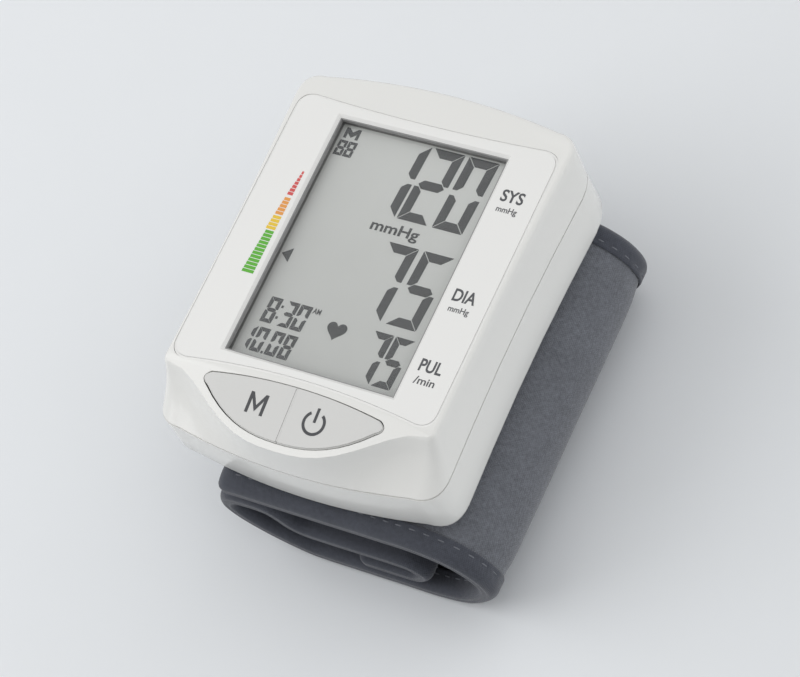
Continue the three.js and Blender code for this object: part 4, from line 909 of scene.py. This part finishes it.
def even_curve(controls, count):
    """Even points on a centripetal Catmull-Rom curve, and the lengths to them and to the controls."""
    c = np.array(controls, float)
    c = np.vstack([2 * c[0] - c[1], c, 2 * c[-1] - c[-2]])
    steps = 60
    t = np.linspace(0, 1, steps, endpoint=False)[:, None]
    runs = []
    for i in range(1, len(c) - 2):
        p0, p1, p2, p3 = c[i - 1 : i + 3]
        d0, d1, d2 = (math.sqrt(np.linalg.norm(b - a)) for a, b in ((p0, p1), (p1, p2), (p2, p3)))
        m1 = ((p1 - p0) / d0 - (p2 - p0) / (d0 + d1) + (p2 - p1) / d1) * d1
        m2 = ((p2 - p1) / d1 - (p3 - p1) / (d1 + d2) + (p3 - p2) / d2) * d1
        runs.append(p1 + m1 * t + (3 * (p2 - p1) - 2 * m1 - m2) * t**2 + (2 * (p1 - p2) + m1 + m2) * t**3)
    dense = np.vstack([*runs, c[-2:-1]])
    length = np.concatenate([[0], np.cumsum(np.linalg.norm(np.diff(dense, axis=0), axis=1))])
    even = np.linspace(0, length[-1], count)
    points = np.stack([np.interp(even, length, dense[:, k]) for k in (0, 1)], axis=1)
    return points, even, length[::steps]


def smoothstep(low, high, value):
    share = np.clip((value - low) / (high - low), 0, 1)
    return share * share * (3 - 2 * share)


class Strap:
    """Middle line of the strap with its half thickness, and places on and in it."""

    def __init__(self):
        cuff = settings("cuff")
        low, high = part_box("cuff_near_binding")
        self.near = low.y
        self.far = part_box("cuff_far_binding")[1].y
        left = screen_middle().x - cuff.side_reach + cuff.strap_thickness / 2
        width = cuff.loop_width - cuff.strap_thickness
        inner_layer = cuff.loop_height - cuff.strap_thickness * 1.5 - cuff.arm_gap
        tail_low = cuff.strap_thickness + cuff.arm_gap + cuff.tail_thickness / 2
        controls = [
            (left + x * width, cuff.strap_thickness / 2 + z * (cuff.loop_height - cuff.strap_thickness))
            for x, z in LOOP_SHARES
        ]
        controls += [(left + x * width, z * inner_layer) for x, z in RETURN_SHARES]
        joint = len(controls) - 1
        controls += [(left + x * width, tail_low + z * (inner_layer - tail_low)) for x, z in TAIL_SHARES]
        self.points, self.along, marks = even_curve(controls, cuff.stations)
        self.joint = marks[joint]
        self.length = self.along[-1]
        tangent = np.gradient(self.points, self.along, axis=0)
        tangent /= np.linalg.norm(tangent, axis=1)[:, None]
        self.tangent = tangent
        self.normal = np.stack([-tangent[:, 1], tangent[:, 0]], axis=1)
        turn = np.gradient(tangent, self.along, axis=0)
        self.bend = np.linalg.norm(turn, axis=1)
        thin = smoothstep(self.joint - THINNING[0], self.joint + THINNING[1], self.along)
        self.half = (cuff.strap_thickness * (1 - thin) + cuff.tail_thickness * thin) / 2

    def end_share(self):
        """From 0 at either end of the strap to 1 where its end's round is over."""
        distance = np.minimum(self.along, self.length - self.along)
        share = np.clip(distance / settings("cuff").end_round, 0, 1)
        return np.sqrt(1 - (1 - share) ** 2)

    def drawn_in(self, distance, y):
        """Places across the strap, drawn in near its ends so that its corners are round."""
        corner = settings("cuff").corner
        rest = np.clip(1 - np.minimum(distance, self.length - distance) / corner, 0, 1)
        inset = corner * (1 - np.sqrt(1 - rest**2))
        middle = (self.near + self.far) / 2
        return y - inset * (y - middle) / (self.far - middle)

    def place(self, offset, y):
        """Points at offsets from the middle line. offset and y are grids of stations by places across."""
        x = self.points[:, 0][:, None] + self.normal[:, 0][:, None] * offset
        z = self.points[:, 1][:, None] + self.normal[:, 1][:, None] * offset
        y = self.drawn_in(self.along[:, None], np.broadcast_to(y, x.shape))
        return np.stack([x, y, np.maximum(z, 0)], axis=2)

    def at(self, distance, offset):
        """Point, tangent and normal at one distance along the strap, in the strap's X and Z."""
        point, tangent, normal = (
            np.array([np.interp(distance, self.along, line[:, k]) for k in (0, 1)])
            for line in (self.points, self.tangent, self.normal)
        )
        return point + normal * offset, tangent, normal

    def seam(self):
        """Distance along the strap of the sewn line where the air bladder ends."""
        return BLADDER_SHARE * self.joint

    def half_at(self, distance):
        return np.interp(distance, self.along, self.half)


def closed_shell(name, front, back, material, along, across, slot):
    """A closed piece between two grids of points of one size, with UVs in metres."""
    rows, columns = front.shape[:2]
    index = np.arange(rows * columns).reshape(rows, columns)
    other = index + rows * columns
    quads = []
    for grid, order in ((index, (0, 1, 2, 3)), (other, (0, 3, 2, 1))):
        corners = grid[:-1, :-1], grid[:-1, 1:], grid[1:, 1:], grid[1:, :-1]
        quads.append(np.stack([corners[k] for k in order], axis=-1).reshape(-1, 4))
    for side in (np.s_[0], np.s_[-1], np.s_[:, 0], np.s_[:, -1]):
        a, b = index[side], other[side]
        quads.append(np.stack([a[:-1], a[1:], b[1:], b[:-1]], axis=-1))
    points = np.concatenate([front.reshape(-1, 3), back.reshape(-1, 3)])
    uv = np.stack(np.broadcast_arrays(along, across), axis=2).reshape(-1, 2)
    return mesh_piece(name, points, np.concatenate(quads), material, uvs=np.concatenate([uv, uv]))


def cloth_across(strap):
    """Places across the strap, close together near its edges."""
    near = [strap.near + place * MM for place in CLOTH_EDGE]
    far = [strap.far - place * MM for place in reversed(CLOTH_EDGE)]
    inner = np.linspace(near[-1], far[0], CLOTH_MIDDLE)[1:-1]
    return np.array([*near, *inner, *far])


def cloth_offset(strap, y, side):
    """How far one side of the cloth stands from the middle line, at each station and place across.

    It is rounded at the ends, sunk under the edge tapes and along the sewn line, and softly uneven. It
    only sinks, so that it stays in its room.
    """
    cuff = settings("cuff")
    s = strap.along[:, None]
    edge = np.minimum(y - strap.near, strap.far - y)[None, :]
    full = strap.half[:, None]
    under = 1 - smoothstep(cuff.tape_width - 0.2 * MM, cuff.tape_width + cuff.shoulder, edge)
    tip = np.clip(edge / strap.half.max(), 0, 1)
    rounded = full * (1 - np.sqrt(1 - (1 - tip) ** 2)) * 0.9
    seam = np.exp(-(((s - strap.seam()) / SEAM_REACH) ** 2))
    waves = sum(
        np.sin(s * along + y[None, :] * across + start + share * side)
        for along, across, start, share in CLOTH_WAVES
    )
    offset = full - TAPE_SINK * under - rounded - SEAM_SINK * seam - UNEVENNESS * (waves / 3 + 1)
    return END_HALF + (offset - END_HALF) * strap.end_share()[:, None]


def bend_folds(strap, y):
    """Small folds that run across the strap where its inner side is squeezed in a bend."""
    squeezed = smoothstep(*FOLD_BENDS, strap.bend)[:, None]
    drift = sum(size * np.sin(y[None, :] * turns) for size, turns in FOLD_DRIFT)
    wave = 0.5 + 0.5 * np.sin(strap.along[:, None] * FOLD_TURNS + drift)
    return -FOLD_DEPTH * squeezed * wave


def tape_section(half, width, thickness):
    """Outer and inner line of a tape folded over an edge, as distance from the edge and offset."""
    steps = TAPE_ROUND_STEPS
    sides = np.linspace(width, half, TAPE_SIDE_STEPS)
    depth, reach = TAPE_CREASE
    angles = [math.pi / 2 * (1 - i / steps) for i in range(2 * steps + 1)]
    outer = [(width, half - thickness * 0.55), *[(e, half) for e in sides[1:-1]]]
    crease = [1 - depth * math.exp(-((a / reach) ** 2)) for a in angles]
    outer += [(half - half * c * math.cos(a), half * math.sin(a)) for a, c in zip(angles, crease)]
    outer += [*[(e, -half) for e in sides[-2:0:-1]], (width, -half + thickness * 0.55)]
    slim = half - thickness
    inner = [(e, slim) for e in sides[:-1]]
    inner += [(half - slim * math.cos(a), slim * math.sin(a)) for a in angles]
    inner += [(e, -slim) for e in sides[-2::-1]]
    return np.array(outer), np.array(inner)


def thread_piece(name, stitches):
    """Many short bowed threads as one piece. Each stitch is a middle, a run and a rise direction."""
    cuff = settings("cuff")
    radius, length = cuff.stitch_radius, cuff.stitch_length
    rings, sides = THREAD_RINGS, THREAD_SIDES
    points, faces = [], []
    for middle, run, rise in stitches:
        across = np.cross(run, rise)
        start = len(points)
        for share in np.linspace(-1, 1, rings):
            size = radius * math.sqrt(max(1 - share**4, 0.06))
            centre = middle + run * (length / 2 * share) - rise * (radius * 0.9 * share * share)
            for k in range(sides):
                turn = 2 * math.pi * k / sides
                points.append(centre + across * (size * math.cos(turn)) + rise * (size * math.sin(turn)))
        for i in range(rings - 1):
            for k in range(sides):
                a, b = start + i * sides + k, start + i * sides + (k + 1) % sides
                faces.append((a, b, b + sides, a + sides))
        faces.append(tuple(start + k for k in range(sides)))
        faces.append(tuple(start + (rings - 1) * sides + k for k in reversed(range(sides))))
    points = [(x, y, max(z, 0)) for x, y, z in points]
    thread = moulded("sewing thread", cuff.thread_colour)
    return mesh_piece(name, points, faces, thread)


def in_space(pair, y=0.0):
    return np.array([pair[0], y, pair[1]])


# Operators


class MONITOR_OT_camera(Operator):
    """Place the camera at the photograph's angle and fit the monitor in its picture"""

    bl_idname = "monitor.camera"
    bl_label = "Place Camera"

    def execute(self, context):
        stage = context.scene.monitor_stage
        data = bpy.data.cameras.new("camera")
        camera = bpy.data.objects.new("camera", data)
        context.scene.collection.objects.link(camera)
        context.scene.camera = camera
        flat = math.cos(stage.elevation)
        back = Vector(
            (math.sin(stage.azimuth) * flat, -math.cos(stage.azimuth) * flat, math.sin(stage.elevation))
        )
        turn = back.to_track_quat("Z", "Y").to_matrix() @ Matrix.Rotation(-stage.roll, 3, "Z")
        corners = [
            Vector((x, y, z)) for x in (CAD_LOW.x, CAD_HIGH.x) for y in (CAD_LOW.y, CAD_HIGH.y)
            for z in (CAD_LOW.z, CAD_HIGH.z)
        ]
        target = (CAD_LOW + CAD_HIGH) / 2
        for _ in range(FIT_ROUNDS):
            eye = target + back * stage.distance
            seen = [turn.transposed() @ (c - eye) for c in corners]
            spans = [[p[k] / -p.z for p in seen] for k in (0, 1)]
            shift = [(min(s) + max(s)) / 2 * stage.distance for s in spans]
            target = target + turn @ Vector((*shift, 0))
        wide, high = (max(s) - min(s) for s in spans)
        share = stage.frame_share
        data.lens = min(
            data.sensor_width * share / wide, data.sensor_width * PHOTO_HEIGHT / PHOTO_WIDTH * share / high
        )
        camera.matrix_world = Matrix.Translation(target + back * stage.distance) @ turn.to_4x4()
        data.clip_start = stage.distance / 20
        return {"FINISHED"}


class MONITOR_OT_stage(Operator):
    """Lay the plain floor and hang the soft lamps"""

    bl_idname = "monitor.stage"
    bl_label = "Set Stage"

    def execute(self, context):
        stage = context.scene.monitor_stage
        half = stage.floor_size / 2
        mesh = bpy.data.meshes.new("floor")
        corners = [(-half, -half, 0), (half, -half, 0), (half, half, 0), (-half, half, 0)]
        mesh.from_pydata(corners, [], [(0, 1, 2, 3)])
        floor = bpy.data.objects.new("floor", mesh)
        context.scene.collection.objects.link(floor)
        mesh.materials.append(moulded("floor paint", stage.floor_colour))
        self.lamp(context, "key lamp", KEY_DIRECTION, stage.key_size, stage.key_power)
        self.lamp(context, "fill lamp", FILL_DIRECTION, stage.fill_size, stage.fill_power)
        self.sky(context, stage.sky_strength)
        return {"FINISHED"}

    def lamp(self, context, name, direction, size, power):
        """A soft lamp in a direction from the monitor, turned towards it."""
        stage = context.scene.monitor_stage
        data = bpy.data.lights.new(name, "AREA")
        data.size = size
        data.energy = power
        lamp = bpy.data.objects.new(name, data)
        context.scene.collection.objects.link(lamp)
        away = Vector(direction).normalized()
        lamp.location = (CAD_LOW + CAD_HIGH) / 2 + away * stage.lamp_distance
        lamp.rotation_euler = away.to_track_quat("Z", "Y").to_euler()

    def sky(self, context, strength):
        """Even light, and a pale backdrop where the camera, gloss or glass sees past the floor."""
        world = bpy.data.worlds.new("studio")
        world.use_nodes = True
        context.scene.world = world
        tree = world.node_tree
        tree.nodes.clear()
        rays = add_node(tree, "ShaderNodeLightPath").outputs
        light = add_node(tree, "ShaderNodeBackground", {"Strength": strength})
        backdrop = add_node(tree, "ShaderNodeBackground", {"Color": BACKDROP})
        straight = math_node(tree, "MAXIMUM", rays["Is Camera Ray"], rays["Is Transmission Ray"])
        seen = math_node(tree, "MAXIMUM", straight, rays["Is Glossy Ray"])
        inputs = {0: seen, 1: light.outputs[0], 2: backdrop.outputs[0]}
        mix = add_node(tree, "ShaderNodeMixShader", inputs)
        add_node(tree, "ShaderNodeOutputWorld", {"Surface": mix.outputs[0]})


class MONITOR_OT_shell(Operator):
    """Finish the case, the plate, the keys and the lens"""

    bl_idname = "monitor.shell"
    bl_label = "Finish Shell"

    def execute(self, context):
        shell = context.scene.monitor_shell
        case = moulded("case white", shell.case_colour, coat=0.25)
        plate = moulded("plate white", shell.plate_colour, coat=0.05)
        keys = moulded("key satin", shell.key_colour)
        dress(case, "front_housing", "rear_housing", "battery_door")
        dress(plate, "display_plate")
        dress(keys, "memory_button", "power_button")
        dress(clear_lens_material(), "display_lens")
        smooth_nodes("front_housing", "rear_housing", "battery_door", "display_plate")
        smooth_nodes("memory_button", "power_button")
        rim_piece("plate_seal", "display_plate", PLATE_SEAL, plate, MAIN_BODY)
        for key in ("memory", "power"):
            rim_piece(f"{key}_key_lip", f"{key}_button", KEY_LIP, keys, f"{key}_key")
        self.divider(keys)
        return {"FINISHED"}

    def divider(self, material):
        """Thin rib of the case in the gap between the keys, a little below their faces."""
        gap, inset, reach, drop, thickness = KEY_DIVIDER
        middle = screen_middle()
        low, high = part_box("memory_button")
        left, right = high.x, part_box("power_button")[0].x
        half = (right - left) / 2 / MM - gap
        centre = ((left + right) / 2 - middle.x) / MM
        first, last = (low.y - middle.y) / MM + inset, (high.y - middle.y) / MM - inset
        places = np.linspace(first, last, DIVIDER_STATIONS)
        rib = Marks([("bar", centre - half, centre + half, *ends) for ends in zip(places, places[1:])])
        key = surface_height("memory_button")
        rib.piece(
            "key_divider", lambda x, y: key(left - reach * MM, y) - drop * MM, thickness * MM, material,
            MAIN_BODY, "button_plastic",
        )


class MONITOR_OT_display(Operator):
    """Make the display's ground, the window's liner that paints the recess's shade, and the figures that it
    shows
    """

    bl_idname = "monitor.display"
    bl_label = "Make Display"

    def execute(self, context):
        display = context.scene.monitor_display
        dress(display_ground_material(), "lcd_glass")
        dark = moulded("display figures", display.figure_colour)
        height = surface_height("lcd_glass")
        for name, drawing in DISPLAY_DRAWINGS.items():
            Marks(drawing).piece(name, height, display.figure_thickness, dark, slot="lcd")
        self.liner(display)
        return {"FINISHED"}

    def liner(self, display):
        """Thin grey liner on the window's walls, down to the lens. Its colour is painted shade of the recess.
        """
        middle = screen_middle()
        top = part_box("display_plate")[1].z - LINER_DROP
        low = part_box("display_lens")[1].z + LINER_GAP
        x, y = display.window_width / 2, display.window_length / 2
        points = []
        for inset, z in (
            (LINER_GAP, top), (LINER_GAP, low), (display.liner_thickness, low), (display.liner_thickness, top)
        ):
            for a, b in ((-1, -1), (1, -1), (1, 1), (-1, 1)):
                points.append((middle.x + a * (x - inset), middle.y + b * (y - inset), z))
        # Painted shade: the liner's grey stands in for the shade on the recess walls
        shade_paint = moulded("window liner shade", display.liner_shade_colour)
        mesh_piece("window_liner_shade", points, ring_faces(4, 4), shade_paint, smooth=False)


class MONITOR_OT_print(Operator):
    """Print the words, the signs on the keys and the coloured scale"""

    bl_idname = "monitor.print_marks"
    bl_label = "Print Marks"

    def execute(self, context):
        shell = context.scene.monitor_shell
        ink = moulded("grey ink", shell.print_colour)
        plate = surface_height("display_plate")
        for name, (texts, upper) in PLATE_WORDS.items():
            marks = Marks()
            for text, (left, right, foot, top, weight) in zip(texts, PLATE_LINES):
                marks.words(text, left, right, upper - foot, upper - top, weight)
            marks.piece(f"print_{name}", plate, shell.print_thickness, ink, slot="plate_plastic")
        dark = moulded("dark ink", shell.sign_colour)
        for name, drawing in KEY_SIGNS.items():
            Marks(drawing).piece(
                f"print_{name}", surface_height(f"{name}_button"), shell.print_thickness, dark,
                f"{name}_key", "button_plastic",
            )
        self.scale(shell, plate)
        return {"FINISHED"}

    def scale(self, shell, plate):
        """Coloured scale beside the window, whose bars narrow towards its upper end."""
        for name, (screen, low, count, widest, narrowest) in SCALE_COLOURS.items():
            marks = Marks()
            for i in range(count):
                width = widest + (narrowest - widest) * i / (count - 1)
                foot = low + SCALE_RISE * i
                marks.bar(SCALE_RIGHT - width, SCALE_RIGHT, foot, foot + SCALE_BAR)
            ink = moulded(f"{name} ink", linear(*screen), "scale ink")
            marks.piece(f"scale_{name}", plate, shell.print_thickness, ink, slot="plate_plastic")


class MONITOR_OT_inside(Operator):
    """Finish the parts inside the case"""

    bl_idname = "monitor.inside"
    bl_label = "Finish Inside"

    def execute(self, context):
        for name, (screen, nodes) in INNER_MOULDINGS.items():
            dress(moulded(name, linear(*screen)), *nodes)
        for name, (screen, roughness, nodes) in INNER_METALS.items():
            dress(metal(name, linear(*screen), roughness), *nodes)
        dress(board_material(), "main_board")
        dress(cell_material(), "battery_1", "battery_2")
        smooth_nodes("battery_1", "battery_2", "pump_motor", "cuff_nozzle")
        return {"FINISHED"}


class MONITOR_OT_cuff(Operator):
    """Sew the cuff: outer cloth, lining, edge tapes, thread and hook patch"""

    bl_idname = "monitor.cuff"
    bl_label = "Sew Cuff"

    def execute(self, context):
        cuff = context.scene.monitor_cuff
        strap = Strap()
        self.cloth(cuff, strap)
        for name, edge, inward in (("near", strap.near, 1), ("far", strap.far, -1)):
            self.tape(cuff, strap, name, edge, inward)
        self.cross_seam(cuff, strap)
        self.hook_pile(cuff, strap)
        return {"FINISHED"}

    def cloth(self, cuff, strap):
        """Outer cloth and lining, each one closed piece from the loop's start to the tail's end."""
        y = cloth_across(strap)
        outer = woven("outer cloth", cuff.cloth_colour, cuff.yarn_pitch)
        # The lining's dark colour partly paints the shade inside the loop's hollow
        inner = woven("lining cloth", cuff.lining_and_shade_colour, cuff.yarn_pitch * 0.8)
        along, across = strap.along[:, None], y[None, :]
        top = cloth_offset(strap, y, OUTER_PHASE)
        piece = closed_shell(
            "cuff_outer_cloth", strap.place(top, y), strap.place(top - cuff.cloth_thickness, y),
            outer, along, across, "cuff_cloth",
        )
        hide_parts("cuff_outer_fabric", "tail_fabric")
        low = cloth_offset(strap, y, LINING_PHASE) + bend_folds(strap, y)
        piece = closed_shell(
            "cuff_lining_cloth", strap.place(-low, y), strap.place(cuff.cloth_thickness - low, y),
            inner, along, across, "cuff_inner_cloth",
        )
        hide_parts("cuff_lining", "tail_lining")

    def tape(self, cuff, strap, name, edge, inward):
        """Tape folded over one long edge, puckered by its thread, and the thread itself."""
        base = strap.half.max() - TAPE_SLACK
        outer, inner = tape_section(base, cuff.tape_width, cuff.tape_thickness)
        scale = ((strap.half - TAPE_SLACK) / base * np.maximum(strap.end_share(), TAPE_END_SHARE))[:, None]
        s = strap.along[:, None]
        across, offset = outer[None, :, 0], outer[None, :, 1]
        row = cuff.tape_width - STITCH_ROW
        turn = (s - cuff.end_round) / cuff.stitch_pitch - 0.5
        pucker = PUCKER * (0.5 + 0.5 * np.cos(2 * math.pi * turn))
        pucker = pucker * np.exp(-(((across - row) / PUCKER_REACH) ** 2))
        wander = TAPE_WANDER * sum(np.sin(s * turns + start) for turns, start in WANDER_WAVES) / 2
        wander = wander + TAPE_WANDER
        front = strap.place(
            (offset - np.sign(offset) * pucker) * scale,
            edge + inward * (across + wander * (across / cuff.tape_width)),
        )
        back = strap.place(inner[None, :, 1] * scale, edge + inward * (inner[None, :, 0] + TAPE_INSET))
        run = np.concatenate([[0], np.cumsum(np.linalg.norm(np.diff(outer, axis=0), axis=1))])
        # The tape's colour, darker than the outer cloth's, paints the shade on the tape bands
        cloth = woven("edge tape", cuff.tape_and_shade_colour, cuff.yarn_pitch * 0.7, cuff.yarn_pitch * 1.1)
        piece = closed_shell(f"cuff_{name}_tape", front, back, cloth, s, run[None, :], "binding")
        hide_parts(f"cuff_{name}_binding", f"tail_{name}_binding")
        stitches = []
        for i in range(int((strap.length - 2 * cuff.end_round) / cuff.stitch_pitch)):
            distance = cuff.end_round + (i + 0.5) * cuff.stitch_pitch
            y = strap.drawn_in(distance, edge + inward * row)
            for side in (1, -1):
                point, tangent, normal = strap.at(distance, side * (strap.half_at(distance) - THREAD_SINK))
                stitches.append((in_space(point, y), in_space(tangent), side * in_space(normal)))
        thread_piece(f"cuff_{name}_thread", stitches)

    def cross_seam(self, cuff, strap):
        """Sewn line across the strap where the air bladder ends."""
        distance = strap.seam()
        first, last = strap.near + EDGE_MARGIN, strap.far - EDGE_MARGIN
        stitches = []
        for side in (1, -1):
            point, _, normal = strap.at(distance, side * (strap.half_at(distance) - SEAM_THREAD_SINK))
            for i in range(int((last - first) / cuff.stitch_pitch)):
                y = first + (i + 0.5) * cuff.stitch_pitch
                stitches.append((in_space(point, y), np.array([0.0, 1.0, 0.0]), side * in_space(normal)))
        thread_piece("cuff_cross_thread", stitches)

    def hook_pile(self, cuff, strap):
        """Hook patch on the tail's inner face."""
        first, last = (strap.joint + share * (strap.length - strap.joint) for share in HOOK_SHARES)
        rows = np.flatnonzero((strap.along >= first) & (strap.along <= last))
        y = np.linspace(strap.near + EDGE_MARGIN, strap.far - EDGE_MARGIN, PILE_COLUMNS)
        edge = np.minimum(y - y[0], y[-1] - y)[None, :]
        s, half = strap.along[rows][:, None], strap.half[rows][:, None]
        end = np.minimum(s - s.min(), s.max() - s)
        rounding = 1 - np.sqrt(1 - np.clip(1 - np.minimum(edge, end) / PILE_RIM, 0, 1) ** 2)
        sides = []
        for offset in (PILE_FALL * rounding - half - PILE_HEIGHT, PILE_ROOT - half):
            grid = np.zeros((len(strap.along), len(y)))
            grid[rows] = offset
            sides.append(strap.place(grid, y)[rows])
        pile = woven("hook pile", cuff.pile_colour, cuff.pile_pitch)
        piece = closed_shell("tail_hook_pile", *sides, pile, s, y[None, :], "cuff_inner_cloth")
        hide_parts("hook_patch")


class MONITOR_PT_finish(Panel):
    """Lists the steps that finish the monitor"""

    bl_label = "Wrist Monitor"
    bl_idname = "MONITOR_PT_finish"
    bl_space_type = "VIEW_3D"
    bl_region_type = "UI"
    bl_category = "Monitor"

    def draw(self, context):
        for step in STEPS:
            self.layout.operator(step.bl_idname)
        for group in GROUPS:
            box = self.layout.box()
            box.label(text=group)
            for name in GROUPS[group].__annotations__:
                box.prop(getattr(context.scene, f"monitor_{group}"), name)


GROUPS = {"stage": MonitorStage, "shell": MonitorShell, "display": MonitorDisplay, "cuff": MonitorCuff}
STEPS = (
    MONITOR_OT_camera, MONITOR_OT_stage, MONITOR_OT_shell, MONITOR_OT_display, MONITOR_OT_print,
    MONITOR_OT_inside, MONITOR_OT_cuff,
)


def register():
    for item in (*GROUPS.values(), *STEPS, MONITOR_PT_finish):
        bpy.utils.register_class(item)
    for name, group in GROUPS.items():
        setattr(bpy.types.Scene, f"monitor_{name}", PointerProperty(type=group))


def unregister():
    for name in GROUPS:
        delattr(bpy.types.Scene, f"monitor_{name}")
    for item in reversed((*GROUPS.values(), *STEPS, MONITOR_PT_finish)):
        bpy.utils.unregister_class(item)


def main():
    register()
    bpy.context.scene.view_settings.view_transform = "Standard"
    for step in STEPS:
        area, call = step.bl_idname.split(".")
        getattr(getattr(bpy.ops, area), call)()


if __name__ == "__main__":
    main()
